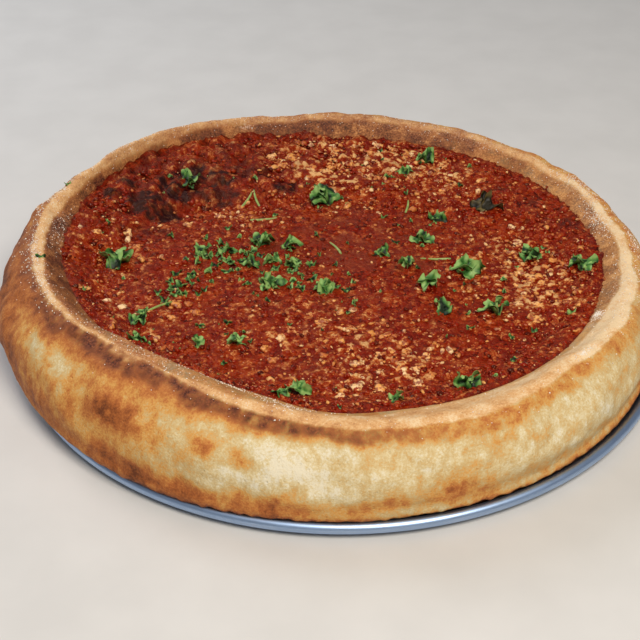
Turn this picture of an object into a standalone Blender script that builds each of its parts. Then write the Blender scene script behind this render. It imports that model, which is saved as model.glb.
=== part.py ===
"""Deep dish pizza in the shallow pan it is built together with.

The crust is a tall bowl of bread with an uneven rim.  It holds one layer of tomato sauce,
with crumbs of cheese and flecks of parsley baked and scattered on it, and parsley leaves
lie loose on the sauce.  The pan is a round aluminium sheet with a rolled edge.

Units are metres and +Z is up.  The origin is the middle of the pan's underside.
The front is -Y.  Azimuths are in degrees from +X, turning towards the back.
"""
import math
import random

import bmesh
import bpy
from mathutils import Matrix, Vector, noise
from mathutils.bvhtree import BVHTree

MM = 0.001

# Pan
PAN_RADIUS = 178.5 * MM
PAN_SHEET = 1.2 * MM
PAN_FLOOR_RADIUS = 158.0 * MM
PAN_BEAD_RADIUS = 2.9 * MM
PAN_BEAD_HEIGHT = 5.4 * MM
PAN_BEAD_SIDES = 8
PAN_BEAD_START = 205.0
PAN_BEAD_TURN = 330.0
PAN_STEPS = 72

# Gaps that keep neighbouring pieces apart
REST_GAP = 0.3 * MM
SAUCE_SIDE_GAP = 0.45 * MM
LEAF_GAP = 0.5 * MM
FLECK_CLEARANCE = 1.0 * MM

# The pizza leans a little to the left of its foot
PIZZA_X = -5.0 * MM
LEAN_HEIGHT = 15.0 * MM

# Rim, read every 15 degrees of azimuth, in millimetres.  The front left is pressed in and
# stands tallest; the back right is the lowest.
LIP_RADIUS = (165, 166.5, 168, 167, 166.5, 166, 166.5, 166, 169, 169.5, 166.5, 168,
              165, 160, 155, 149, 149.5, 156, 162, 167.5, 167.5, 163, 168, 165.5)
LIP_HEIGHT = (48.5, 48, 48, 48, 48.3, 49.5, 50.5, 50.5, 54, 56, 56, 55.5,
              55.5, 56.5, 57, 58.5, 58, 55, 52.7, 51.7, 51, 51.8, 50.5, 49)
SAUCE_RADIUS = (148, 148.5, 150, 150, 149.5, 148.5, 148, 154, 160, 163, 159, 153.5,
                149, 142.5, 138, 131, 128, 131, 139, 140, 142.5, 144, 145, 145.5)
SAUCE_EDGE_HEIGHT = (43, 42.5, 42, 42, 42, 42.5, 43.5, 44.5, 46, 47.5, 48, 48,
                     47, 46, 46, 46, 46, 45.5, 44.5, 44, 44, 43.7, 43, 43)
BULGE_RADIUS = (177, 177, 177, 177, 178, 178, 178, 179, 180, 181, 182, 183,
                183.5, 183, 180, 177, 176, 177, 178, 178.5, 179, 178.5, 178, 177)
BULGE_HEIGHT = 27.0 * MM
# Levels of the upper wall, from the bulge (0) to the lip (1), and how full its curve is
WALL_LEVELS = (0.0, 0.38, 0.68, 0.89)
WALL_FULLNESS = 0.8
# Top of the rim: share of its width inwards, and share of its drop to the sauce
RIM_TOP = ((0.16, 0.02), (0.36, 0.03), (0.6, 0.35), (0.82, 0.72))
# Bottom edge of the wall, read every 30 degrees; it hangs over the pan's edge at the left
HEM_RADIUS = (173.5, 173.5, 174, 174, 175, 176, 177.5, 178.5, 177.5, 175.5, 174.5, 173.5)
HEM_HEIGHT = 10.4 * MM
CREST_RISE = 1.0 * MM
BLISTER_AZIMUTH = 168.0
BLISTER_WIDTH = 2.6
BLISTER_SIZE = 5.0 * MM

# Foot of the crust, on the pan
FOOT_RADIUS = 156.8 * MM
HEEL_RADIUS = 169.8 * MM
HEEL_HEIGHT = 4.6 * MM
ANKLE_RADIUS = 171.3 * MM
ANKLE_HEIGHT = 6.2 * MM
OVERHANG_RADIUS = 171.8 * MM
OVERHANG_HEIGHT = 8.7 * MM
LOWER_WALL_HEIGHT = 17.5 * MM
CRUST_STEPS = 104
CRUST_RELIEF = 0.9 * MM
CRUST_RELIEF_SIZE = 19.0 * MM

# Recess in the crust that the sauce lies in
RECESS_HEIGHT = 27.0 * MM
RECESS_TAPER = 3.0 * MM

# Sauce: a flat pool, and banks that climb to the rim, steeply at the back.
# The pool's radius is read every 30 degrees, in millimetres.
POOL_RADIUS = (118, 93, 77, 73, 80, 109, 125, 118, 110, 115, 118, 120)
POOL_HEIGHT = 37.5 * MM
SAUCE_RINGS = 18
LUMP_HEIGHT = 0.8 * MM
LUMP_SIZE = 13.0 * MM
DENT_PLACE = (-88.0 * MM, 72.0 * MM)
DENT_RADIUS = 22.0 * MM
DENT_DEPTH = 2.4 * MM

# Cheese crumbs: where they lie thickest (x, y, radius of the patch, crumbs)
CRUMB_PATCHES = (
    (-2, 103, 24, 11), (36, 122, 24, 7), (65, 90, 20, 5), (95, 8, 22, 8), (105, -32, 22, 9),
    (26, -88, 22, 9), (4, -100, 20, 3), (-125, 16, 18, 3), (-100, -45, 28, 4), (-66, 58, 12, 3),
    (-32, 112, 18, 3), (-23, -60, 40, 5),
)
CRUMB_SMALLEST = 1.5 * MM
CRUMB_LARGEST = 3.2 * MM

# Small flecks of parsley on the sauce (x, y in millimetres)
FLECK_PLACES = (
    (-53, 91), (-134, 37), (-66, 42), (-98, 33), (-78, 30), (-59, 31), (-64, -5), (-13, 13),
    (-15, 34), (-24, -21), (-55, -13), (-83, -8), (-71, -17), (-77, -28), (-93, -24),
    (-137, -31), (-80, -46), (-74, -58), (-60, -55), (-40, -34), (-59, -91), (-42, -127),
    (27, 96), (24, 128), (38, 78), (78, 108), (71, 87), (12, 86), (24, 54), (30, 26),
    (76, 12), (6, -16), (88, -13), (126, -24), (6, -36), (66, -60), (87, -68), (120, -50),
    (86, -92), (99, -61), (7, -105), (33, -108),
)
FLECK_LENGTH = 6.0 * MM
FLECK_WIDTH = 3.4 * MM
FLECK_HEIGHT = 1.3 * MM

# Parsley stems on the sauce (x, y, length in millimetres, turn in degrees)
STEM_PLACES = (
    (-4, 20, 14, 118), (-97, -40, 20, 40), (-57, 72, 13, 62), (-51, 73, 13, 108),
    (38, 66, 12, 80), (52, 9, 17, 176), (-46, 52, 16, 8),
)
STEM_RADIUS = 0.8 * MM

# Loose parsley leaves (x, y, span in millimetres, turn in degrees, lobes)
LEAF_PLACES = (
    (-125, 6, 20, 15, 5), (-91, 87, 13, 250, 3), (-12, 73, 20, 10, 5), (-45, 25, 15, 80, 5),
    (-30, 21, 12, 200, 3), (-79, 16, 12, 140, 3), (-66, 16, 10, 60, 3), (-51, 1, 10, 300, 3),
    (-39, 6, 10, 30, 3), (-27, 2, 10, 330, 3), (-38, -17, 13, 170, 5), (-9, -23, 13, 45, 5),
    (-106, -51, 12, 100, 5), (-104, -76, 10, 210, 3), (-73, -73, 9, 280, 3),
    (-54, -72, 10, 95, 3), (-22, -115, 14, 350, 5), (-29, -125, 9, 120, 3),
    (52, 118, 15, 70, 5), (39, 101, 9, 230, 3), (54, 53, 11, 260, 3), (45, 28, 13, 340, 5),
    (22, 13, 10, 150, 3), (36, 3, 12, 60, 3), (69, -4, 18, 5, 5), (105, 10, 15, 315, 5),
    (131, -5, 16, 160, 5), (47, -18, 14, 355, 3), (53, -41, 12, 110, 3), (80, -43, 15, 20, 5),
    (61, -111, 16, 185, 5), (26, -125, 9, 75, 3),
)
DRIED_LEAF_PLACE = (85, 63, 15, 50, 3)
LEAF_THICKNESS = 0.7 * MM
LEAF_HEART = 0.22
LEAF_WAVE = 1.1 * MM
LEAF_POINTS = 14

SEED = 11


def clear_scene():
    """Remove every object, so that the model starts alone."""
    for thing in list(bpy.data.objects):
        bpy.data.objects.remove(thing, do_unlink=True)


def make_collection(name):
    """New collection, linked to the scene."""
    collection = bpy.data.collections.new(name)
    bpy.context.scene.collection.children.link(collection)
    return collection


def make_material(name, colour, roughness, metallic=0.0):
    """Principled material with one linear colour."""
    material = bpy.data.materials.new(name)
    material.use_nodes = True
    shader = material.node_tree.nodes["Principled BSDF"]
    shader.inputs["Base Color"].default_value = (*colour, 1.0)
    shader.inputs["Roughness"].default_value = roughness
    shader.inputs["Metallic"].default_value = metallic
    material.diffuse_color = (*colour, 1.0)
    return material


def add_object(name, mesh, collection, material=None):
    """Object for a mesh, in a collection."""
    thing = bpy.data.objects.new(name, mesh)
    collection.objects.link(thing)
    if material is not None:
        mesh.materials.append(material)
    return thing


def mesh_from(work, name, closed=True):
    """Mesh data from a bmesh; the faces of a closed one are turned outwards."""
    work.normal_update()
    if closed:
        bmesh.ops.recalc_face_normals(work, faces=work.faces)
    mesh = bpy.data.meshes.new(name)
    work.to_mesh(mesh)
    work.free()
    return mesh


def shade_round(thing, angle=50.0):
    """Shade smooth, with sharp edges past an angle."""
    thing.data.shade_smooth()
    thing.data.set_sharp_from_angle(angle=math.radians(angle))


def smooth_step(low, high, value):
    """0 below low, 1 above high and an eased climb between."""
    part = min(max((value - low) / (high - low), 0.0), 1.0)
    return part * part * (3.0 - 2.0 * part)


def round_value(values, azimuth):
    """Smooth value at an azimuth, from millimetre values evenly spaced round the circle."""
    count = len(values)
    place = (azimuth % 360.0) * count / 360.0
    index = int(place)
    part = place - index
    before, start, end, after = (values[(index + k) % count] for k in (-1, 0, 1, 2))
    slope = (end - before) * part
    curve = (2 * before - 5 * start + 4 * end - after) * part ** 2
    twist = (3 * start - before - 3 * end + after) * part ** 3
    return 0.5 * (2 * start + slope + curve + twist) * MM


def polar(radius, azimuth, height):
    """Point at a radius and azimuth: about the pan's middle at the foot, the pizza's above."""
    turn = math.radians(azimuth)
    middle = PIZZA_X * smooth_step(OVERHANG_HEIGHT, LEAN_HEIGHT, height)
    return Vector((middle + radius * math.cos(turn), radius * math.sin(turn), height))


def pool_reach(x, y):
    """Azimuth of a place, and how far it is from the pool's edge (0) to the sauce's edge (1)."""
    across = x - PIZZA_X
    azimuth = math.degrees(math.atan2(y, across))
    pool = round_value(POOL_RADIUS, azimuth)
    edge = round_value(SAUCE_RADIUS, azimuth)
    return azimuth, (math.hypot(across, y) - pool) / (edge - pool)


def sauce_height(x, y):
    """Height of the sauce at a place, before its lumps."""
    azimuth, reach = pool_reach(x, y)
    edge = round_value(SAUCE_EDGE_HEIGHT, azimuth)
    backness = smooth_step(-0.1, 0.6, math.sin(math.radians(azimuth)))
    steep = 0.6 * smooth_step(0.0, 0.22, reach) + 0.4 * smooth_step(0.1, 1.0, reach)
    gentle = smooth_step(0.0, 1.0, reach)
    climb = gentle + (steep - gentle) * backness
    away = math.hypot(x - DENT_PLACE[0], y - DENT_PLACE[1]) / DENT_RADIUS
    dent = DENT_DEPTH * math.exp(-away * away)
    return POOL_HEIGHT + (edge - POOL_HEIGHT) * climb - dent


def sauce_lump(x, y):
    """Lumps of tomato pulp on the sauce, small in the pool and none at the rim."""
    reach = pool_reach(x, y)[1]
    rough = 0.45 + 0.55 * smooth_step(-0.4, 0.1, reach)
    fade = 1.0 - smooth_step(0.85, 1.0, reach)
    place = Vector((x / LUMP_SIZE, y / LUMP_SIZE, 3.7))
    return LUMP_HEIGHT * rough * fade * noise.noise(place) * 2.0


def pan_profile():
    """Half section of the pan, from the middle of its floor out, round the bead and back."""
    centre = PAN_RADIUS - PAN_BEAD_RADIUS
    profile = [(0.0, PAN_SHEET), (PAN_FLOOR_RADIUS, PAN_SHEET)]
    for k in range(PAN_BEAD_SIDES):
        turn = math.radians(PAN_BEAD_START - PAN_BEAD_TURN * k / (PAN_BEAD_SIDES - 1))
        profile.append((centre + PAN_BEAD_RADIUS * math.cos(turn),
                        PAN_BEAD_HEIGHT + PAN_BEAD_RADIUS * math.sin(turn)))
    profile.append((PAN_FLOOR_RADIUS, 0.0))
    profile.append((0.0, 0.0))
    return profile


def make_pan(collection, material):
    """Turned sheet pan: a flat floor, a sloping side and a rolled edge."""
    work = bmesh.new()
    points = [work.verts.new((radius, 0.0, height)) for radius, height in pan_profile()]
    for start, end in zip(points, points[1:]):
        work.edges.new((start, end))
    mesh = bpy.data.meshes.new("pan")
    work.to_mesh(mesh)
    work.free()
    pan = add_object("pan", mesh, collection, material)
    turned = pan.modifiers.new("Turned", "SCREW")
    turned.steps = PAN_STEPS
    turned.render_steps = PAN_STEPS
    turned.use_merge_vertices = True
    turned.merge_threshold = 0.00005
    turned.use_smooth_shade = True
    return pan


def rim_at(azimuth):
    """Lip radius, lip height, sauce radius and sauce height at an azimuth."""
    lip = round_value(LIP_RADIUS, azimuth)
    height = round_value(LIP_HEIGHT, azimuth)
    away = (azimuth - BLISTER_AZIMUTH) / BLISTER_WIDTH
    lip += BLISTER_SIZE * math.exp(-away * away)
    return lip, height, round_value(SAUCE_RADIUS, azimuth), round_value(SAUCE_EDGE_HEIGHT, azimuth)


def crust_section(azimuth):
    """Section of the crust as (radius, height) points, from under the foot to the recess."""
    lip, lip_height, edge, edge_height = rim_at(azimuth)
    bulge = round_value(BULGE_RADIUS, azimuth)
    hem = round_value(HEM_RADIUS, azimuth)
    section = [
        (FOOT_RADIUS, PAN_SHEET + REST_GAP),
        (HEEL_RADIUS, HEEL_HEIGHT),
        (ANKLE_RADIUS, ANKLE_HEIGHT),
        (OVERHANG_RADIUS, OVERHANG_HEIGHT),
        (hem, HEM_HEIGHT),
        (0.6 * bulge + 0.4 * hem, LOWER_WALL_HEIGHT),
    ]
    for level in WALL_LEVELS:
        swing = math.cos(level * math.pi / 2) ** WALL_FULLNESS
        height = BULGE_HEIGHT + (lip_height - BULGE_HEIGHT) * level
        section.append((lip + (bulge - lip) * swing, height))
    section.append((lip, lip_height))
    width = lip - edge
    crest_height = lip_height + CREST_RISE
    drop = crest_height - edge_height
    for across, down in RIM_TOP:
        section.append((lip - across * width, crest_height - down * drop))
    section.append((edge, edge_height))
    section.append((edge - RECESS_TAPER, RECESS_HEIGHT))
    return section


def crust_relief(point):
    """Soft dents and blisters in the baked dough, none where it meets its neighbours."""
    across = math.hypot(point.x - PIZZA_X, point.y)
    wall = smooth_step(15.0 * MM, 24.0 * MM, point.z)
    edge = round_value(SAUCE_RADIUS, math.degrees(math.atan2(point.y, point.x - PIZZA_X)))
    clear = smooth_step(1.0 * MM, 6.0 * MM, across - edge)
    return CRUST_RELIEF * wall * clear * noise.noise(point / CRUST_RELIEF_SIZE) * 2.0


def loft(sections, name):
    """Closed mesh through rings of points, with a flat cap on the first and last ring."""
    work = bmesh.new()
    rings = [[work.verts.new(point) for point in section] for section in sections]
    for lower, upper in zip(rings, rings[1:]):
        for k in range(len(lower)):
            after = (k + 1) % len(lower)
            work.faces.new((lower[k], lower[after], upper[after], upper[k]))
    work.faces.new(reversed(rings[0]))
    work.faces.new(rings[-1])
    bmesh.ops.triangulate(work, faces=[face for face in work.faces if len(face.verts) == 4])
    return mesh_from(work, name)


def make_crust(collection, material):
    """Tall crust whose section changes all the way round, with a recess for the sauce."""
    azimuths = [360.0 * k / CRUST_STEPS for k in range(CRUST_STEPS)]
    sections = [crust_section(azimuth) for azimuth in azimuths]
    rings = []
    for level in range(len(sections[0])):
        ring = []
        for azimuth, section in zip(azimuths, sections):
            radius, height = section[level]
            point = polar(radius, azimuth, height)
            shift = crust_relief(point)
            ring.append(polar(radius + shift, azimuth, height + 0.4 * shift))
        rings.append(ring)
    crust = add_object("crust", loft(rings, "crust"), collection, material)
    shade_round(crust)
    return crust


def sauce_disc():
    """Disc of even triangles: a six-sided fan, cut up and pushed out to the sauce's outline."""
    work = bmesh.new()
    bmesh.ops.create_circle(work, cap_ends=True, cap_tris=True, segments=6, radius=1.0)
    bmesh.ops.subdivide_edges(work, edges=work.edges, cuts=SAUCE_RINGS - 1, use_grid_fill=True)
    bmesh.ops.triangulate(work, faces=work.faces)
    for vert in work.verts:
        azimuth = math.degrees(math.atan2(vert.co.y, vert.co.x))
        from_corner = math.radians((azimuth - 90.0) % 60.0 - 30.0)
        side = math.cos(math.radians(30.0)) / math.cos(from_corner)
        reach = math.hypot(vert.co.x, vert.co.y) / side
        radius = reach * (round_value(SAUCE_RADIUS, azimuth) - SAUCE_SIDE_GAP)
        place = polar(radius, azimuth, POOL_HEIGHT)
        place.z = sauce_height(place.x, place.y) + sauce_lump(place.x, place.y)
        vert.co = place
    return work


def make_sauce(collection, material):
    """Sauce layer: an uneven top over a side wall and a flat underside."""
    work = sauce_disc()
    rim = [edge for edge in work.edges if edge.is_boundary]
    pulled = bmesh.ops.extrude_edge_only(work, edges=rim)["geom"]
    lower = [item for item in pulled if isinstance(item, bmesh.types.BMVert)]
    for vert in lower:
        across = Vector((vert.co.x - PIZZA_X, vert.co.y, 0.0))
        place = across.normalized() * (across.length - RECESS_TAPER)
        vert.co = Vector((PIZZA_X + place.x, place.y, RECESS_HEIGHT + REST_GAP))
    bottom = [edge for edge in work.edges if edge.is_boundary]
    bmesh.ops.holes_fill(work, edges=bottom)
    sauce = add_object("sauce", mesh_from(work, "sauce"), collection, material)
    shade_round(sauce)
    return sauce


def surface_under(sauce):
    """Search tree for the sauce's facets."""
    return BVHTree.FromPolygons([vert.co for vert in sauce.data.vertices],
                                [face.vertices for face in sauce.data.polygons])


def top_at(tree, x, y):
    """Height of the sauce's facets at a place."""
    return tree.ray_cast(Vector((x, y, 0.2)), Vector((0.0, 0.0, -1.0)))[0].z


def leaf_radius(turn, span, lobes):
    """Outline of a parsley leaf: lobes with notches between them, and a narrow base."""
    lobe = abs(math.cos(lobes * turn / 2.0)) ** 0.7
    base = 1.0 - 0.35 * smooth_step(0.75, 1.0, abs(turn) / math.pi)
    return 0.5 * span * (0.52 + 0.48 * lobe) * base


def leaf_surface(span, lobes, wave_turn):
    """Open wavy leaf of triangles, flat about its middle."""
    work = bmesh.new()
    middle = work.verts.new((0.0, 0.0, 0.0))
    outer = []
    inner = []
    for k in range(LEAF_POINTS):
        turn = 2.0 * math.pi * k / LEAF_POINTS - math.pi
        radius = leaf_radius(turn, span, lobes)
        wave = LEAF_WAVE * math.sin(3.0 * turn + wave_turn) * radius / (0.5 * span)
        outer.append(work.verts.new((radius * math.cos(turn), radius * math.sin(turn), wave)))
        if k % 2 == 0:
            radius = LEAF_HEART * span
            inner.append(work.verts.new((radius * math.cos(turn), radius * math.sin(turn), 0.0)))
    count = len(inner)
    for k in range(count):
        after = (k + 1) % count
        work.faces.new((middle, inner[k], inner[after]))
        work.faces.new((inner[k], outer[2 * k], outer[2 * k + 1]))
        work.faces.new((inner[k], outer[2 * k + 1], inner[after]))
        work.faces.new((inner[after], outer[2 * k + 1], outer[(2 * k + 2) % LEAF_POINTS]))
    return work


def leaf_samples(work):
    """Places on a leaf where it has to clear the sauce."""
    samples = [vert.co.copy() for vert in work.verts]
    samples += [(edge.verts[0].co + edge.verts[1].co) / 2 for edge in work.edges]
    samples += [face.calc_center_median() for face in work.faces]
    return samples


def make_leaf(name, place, tree, collection, material):
    """Thin wavy leaf laid just clear of the sauce under it."""
    x, y, span, turn, lobes = place
    work = leaf_surface(span * MM, lobes, math.radians(3 * turn))
    spin = Matrix.Rotation(math.radians(turn), 4, "Z")
    for vert in work.verts:
        vert.co = spin @ vert.co
        vert.co.x += x * MM
        vert.co.y += y * MM
    samples = leaf_samples(work)
    ground = [top_at(tree, sample.x, sample.y) for sample in samples]
    tilt = fit_plane(samples, ground)
    lift = max(height - tilt(sample) - sample.z for sample, height in zip(samples, ground))
    for vert in work.verts:
        vert.co.z += tilt(vert.co) + lift + LEAF_GAP
    leaf = add_object(name, mesh_from(work, name, closed=False), collection, material)
    shell = leaf.modifiers.new("Thickness", "SOLIDIFY")
    shell.thickness = LEAF_THICKNESS
    shell.offset = 1.0
    leaf.modifiers.new("Facets", "TRIANGULATE")
    for face in leaf.data.polygons:
        face.use_smooth = True
    return leaf


def fit_plane(points, heights):
    """Plane through a few heights, by least squares, as a function of a place."""
    count = len(points)
    mean = Vector((sum(p.x for p in points) / count, sum(p.y for p in points) / count))
    level = sum(heights) / count
    xx = sum((p.x - mean.x) ** 2 for p in points)
    yy = sum((p.y - mean.y) ** 2 for p in points)
    xy = sum((p.x - mean.x) * (p.y - mean.y) for p in points)
    xz = sum((p.x - mean.x) * (h - level) for p, h in zip(points, heights))
    yz = sum((p.y - mean.y) * (h - level) for p, h in zip(points, heights))
    spread = xx * yy - xy * xy
    slope_x = (xz * yy - yz * xy) / spread
    slope_y = (yz * xx - xz * xy) / spread
    return lambda p: level + slope_x * (p.x - mean.x) + slope_y * (p.y - mean.y)


def clear_of_leaves(x, y, reach):
    """Whether a place is clear of every loose leaf."""
    for place in LEAF_PLACES + (DRIED_LEAF_PLACE,):
        if math.hypot(x - place[0] * MM, y - place[1] * MM) < 0.5 * place[2] * MM + reach:
            return False
    return True


def clear_of_edge(x, y):
    """Whether a place is well inside the sauce's outline."""
    return pool_reach(x, y)[1] < 0.86


def add_crumb(collection, centre, size, draw):
    """One irregular crumb, half sunk in the sauce."""
    work = bmesh.new()
    bmesh.ops.create_icosphere(work, subdivisions=1, radius=size)
    stretch = Vector((draw.uniform(0.8, 1.3), draw.uniform(0.8, 1.2), draw.uniform(0.6, 0.8)))
    spin = Matrix.Rotation(draw.uniform(0.0, math.pi), 4, "Z")
    for vert in work.verts:
        vert.co = spin @ Vector([a * b for a, b in zip(vert.co, stretch)]) + centre
    add_object("crumb", mesh_from(work, "crumb"), collection)


def add_crumbs(collection, tree, draw):
    """Crumbs of cheese in their patches."""
    taken = []
    for patch_x, patch_y, patch_radius, count in CRUMB_PATCHES:
        placed = 0
        for _ in range(count * 40):
            if placed == count:
                break
            turn = draw.uniform(0.0, 2.0 * math.pi)
            away = patch_radius * MM * math.sqrt(draw.random())
            size = draw.uniform(CRUMB_SMALLEST, CRUMB_LARGEST)
            x = patch_x * MM + away * math.cos(turn)
            y = patch_y * MM + away * math.sin(turn)
            near = any(math.hypot(x - a, y - b) < (size + c) * 1.4 for a, b, c in taken)
            reach = size * 1.4 + FLECK_CLEARANCE
            if near or not clear_of_edge(x, y) or not clear_of_leaves(x, y, reach):
                continue
            taken.append((x, y, size))
            add_crumb(collection, Vector((x, y, top_at(tree, x, y))), size, draw)
            placed += 1
    return taken


def add_flecks(collection, tree, draw, taken):
    """Small bits of chopped parsley, lying on the sauce."""
    for x_mm, y_mm in FLECK_PLACES:
        x = x_mm * MM
        y = y_mm * MM
        size = draw.uniform(0.75, 1.1)
        turn = draw.uniform(0.0, math.pi)
        reach = 0.5 * FLECK_LENGTH * size
        near = any(math.hypot(x - a, y - b) < reach + c * 1.4 for a, b, c in taken)
        if near or not clear_of_edge(x, y) or not clear_of_leaves(x, y, reach + FLECK_CLEARANCE):
            continue
        work = bmesh.new()
        bmesh.ops.create_cone(work, cap_ends=True, cap_tris=False, segments=5,
                              radius1=0.5, radius2=0.4, depth=1.0)
        shape = Matrix.Diagonal((FLECK_LENGTH * size, FLECK_WIDTH * size, FLECK_HEIGHT, 1.0))
        place = Matrix.Translation((x, y, top_at(tree, x, y) + 0.2 * FLECK_HEIGHT))
        bmesh.ops.transform(work, verts=work.verts,
                            matrix=place @ Matrix.Rotation(turn, 4, "Z") @ shape)
        add_object("fleck", mesh_from(work, "fleck"), collection)
        taken.append((x, y, reach))


def add_stems(collection, tree):
    """Short parsley stems, half sunk in the sauce."""
    for x_mm, y_mm, length, turn in STEM_PLACES:
        half = 0.5 * length * MM
        heading = Vector((math.cos(math.radians(turn)), math.sin(math.radians(turn)), 0.0))
        ends = [Vector((x_mm * MM, y_mm * MM, 0.0)) + heading * side for side in (-half, half)]
        for end in ends:
            end.z = top_at(tree, end.x, end.y)
        work = bmesh.new()
        bmesh.ops.create_cone(work, cap_ends=True, cap_tris=False, segments=5,
                              radius1=STEM_RADIUS, radius2=0.7 * STEM_RADIUS,
                              depth=(ends[1] - ends[0]).length)
        aim = (ends[1] - ends[0]).to_track_quat("Z", "Y").to_matrix().to_4x4()
        middle = Matrix.Translation((ends[0] + ends[1]) / 2)
        bmesh.ops.transform(work, verts=work.verts, matrix=middle @ aim)
        add_object("stem", mesh_from(work, "stem"), collection)


def fuse(thing, bits):
    """Join a collection of small solids to a solid, and remove them."""
    union = thing.modifiers.new("Fused", "BOOLEAN")
    union.operation = "UNION"
    union.operand_type = "COLLECTION"
    union.collection = bits
    union.solver = "MANIFOLD"
    bpy.context.view_layer.update()
    evaluated = thing.evaluated_get(bpy.context.evaluated_depsgraph_get())
    mesh = bpy.data.meshes.new_from_object(evaluated)
    thing.modifiers.clear()
    old = thing.data
    thing.data = mesh
    bpy.data.meshes.remove(old)
    mesh.name = thing.name
    for bit in list(bits.objects):
        bpy.data.objects.remove(bit, do_unlink=True)
    bpy.data.collections.remove(bits)


def dress_sauce(sauce, tree):
    """Fuse crumbs, flecks and stems to the sauce."""
    draw = random.Random(SEED)
    bits = make_collection("sauce bits")
    taken = add_crumbs(bits, tree, draw)
    add_flecks(bits, tree, draw, taken)
    add_stems(bits, tree)
    fuse(sauce, bits)


def make_leaves(collection, tree):
    """Every loose leaf, and the one dark dried leaf."""
    green = make_material("parsley", (0.06, 0.2, 0.03), 0.5)
    brown = make_material("dried leaf", (0.05, 0.03, 0.01), 0.6)
    for number, place in enumerate(LEAF_PLACES, start=1):
        make_leaf(f"parsley_{number:02d}", place, tree, collection, green)
    make_leaf("dried_leaf", DRIED_LEAF_PLACE, tree, collection, brown)


def build():
    """Make the pizza and its pan."""
    clear_scene()
    pizza = make_collection("deep dish pizza")
    make_pan(pizza, make_material("aluminium sheet", (0.62, 0.66, 0.72), 0.3, metallic=1.0))
    make_crust(pizza, make_material("baked crust", (0.62, 0.36, 0.14), 0.75))
    sauce = make_sauce(pizza, make_material("tomato sauce", (0.3, 0.025, 0.01), 0.35))
    tree = surface_under(sauce)
    make_leaves(pizza, tree)
    dress_sauce(sauce, tree)


build()
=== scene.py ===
"""Deep dish pizza in its shallow pan: the finish of every piece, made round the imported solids.

Units are metres and +Z is up.  The origin is the middle of the pan's underside, the front is
-Y, and azimuths are in degrees from +X, turning towards the back.
"""

import math
import random

import bmesh
import bpy
import numpy as np
from bpy.props import FloatProperty, FloatVectorProperty, IntProperty, PointerProperty
from mathutils import Euler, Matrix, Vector, noise


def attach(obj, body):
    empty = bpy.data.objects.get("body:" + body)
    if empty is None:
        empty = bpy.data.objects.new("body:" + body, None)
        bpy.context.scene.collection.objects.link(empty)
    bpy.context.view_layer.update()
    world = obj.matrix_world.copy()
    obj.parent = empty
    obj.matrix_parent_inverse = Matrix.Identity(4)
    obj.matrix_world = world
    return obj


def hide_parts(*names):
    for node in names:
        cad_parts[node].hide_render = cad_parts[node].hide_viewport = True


bl_info = {
    "name": "Deep dish pizza",
    "version": (1, 0, 0),
    "blender": (4, 5, 0),
    "location": "3D View > Sidebar > Pizza",
    "description": "Builds a deep dish pizza with its pan round the packed solids",
    "category": "Object",
}

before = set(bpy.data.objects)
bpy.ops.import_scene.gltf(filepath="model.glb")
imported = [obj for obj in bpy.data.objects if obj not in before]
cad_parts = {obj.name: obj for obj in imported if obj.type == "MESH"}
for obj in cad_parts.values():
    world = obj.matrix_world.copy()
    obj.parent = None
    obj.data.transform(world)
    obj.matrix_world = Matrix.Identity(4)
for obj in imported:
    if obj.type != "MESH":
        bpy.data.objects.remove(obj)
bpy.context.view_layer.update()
MM = 0.001

# Forms shared with the solids, in millimetres unless they are multiplied by MM
PAN_RADIUS = 178.5 * MM
PAN_SHEET = 1.2 * MM
PAN_FLOOR_RADIUS = 158.0 * MM
PAN_BEAD_RADIUS = 2.9 * MM
PAN_BEAD_HEIGHT = 5.4 * MM
PAN_BEAD_START = 205.0
PAN_BEAD_TURN = 330.0
PAN_BEAD_STEPS = 26
REST_GAP = 0.3 * MM
PIZZA_X = -5.0 * MM
LEAN_HEIGHT = 15.0 * MM
LIP_RADIUS = (165, 166.5, 168, 167, 166.5, 166, 166.5, 166, 169, 169.5, 166.5, 168,
              165, 160, 155, 149, 149.5, 156, 162, 167.5, 167.5, 163, 168, 165.5)
LIP_HEIGHT = (48.5, 48, 48, 48, 48.3, 49.5, 50.5, 50.5, 54, 56, 56, 55.5,
              55.5, 56.5, 57, 58.5, 58, 55, 52.7, 51.7, 51, 51.8, 50.5, 49)
SAUCE_RADIUS = (148, 148.5, 150, 150, 149.5, 148.5, 148, 154, 160, 163, 159, 153.5,
                149, 142.5, 138, 131, 128, 131, 139, 140, 142.5, 144, 145, 145.5)
SAUCE_EDGE_HEIGHT = (43, 42.5, 42, 42, 42, 42.5, 43.5, 44.5, 46, 47.5, 48, 48,
                     47, 46, 46, 46, 46, 45.5, 44.5, 44, 44, 43.7, 43, 43)
BULGE_RADIUS = (177, 177, 177, 177, 178, 178, 178, 179, 180, 181, 182, 183,
                183.5, 183, 180, 177, 176, 177, 178, 178.5, 179, 178.5, 178, 177)
BULGE_HEIGHT = 27.0 * MM
WALL_LEVELS = (0.0, 0.38, 0.68, 0.89)
WALL_FULLNESS = 0.8
RIM_TOP = ((0.16, 0.02), (0.36, 0.03), (0.6, 0.35), (0.82, 0.72))
HEM_RADIUS = (173.5, 173.5, 174, 174, 175, 176, 177.5, 178.5, 177.5, 175.5, 174.5, 173.5)
HEM_HEIGHT = 10.4 * MM
CREST_RISE = 1.0 * MM
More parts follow.
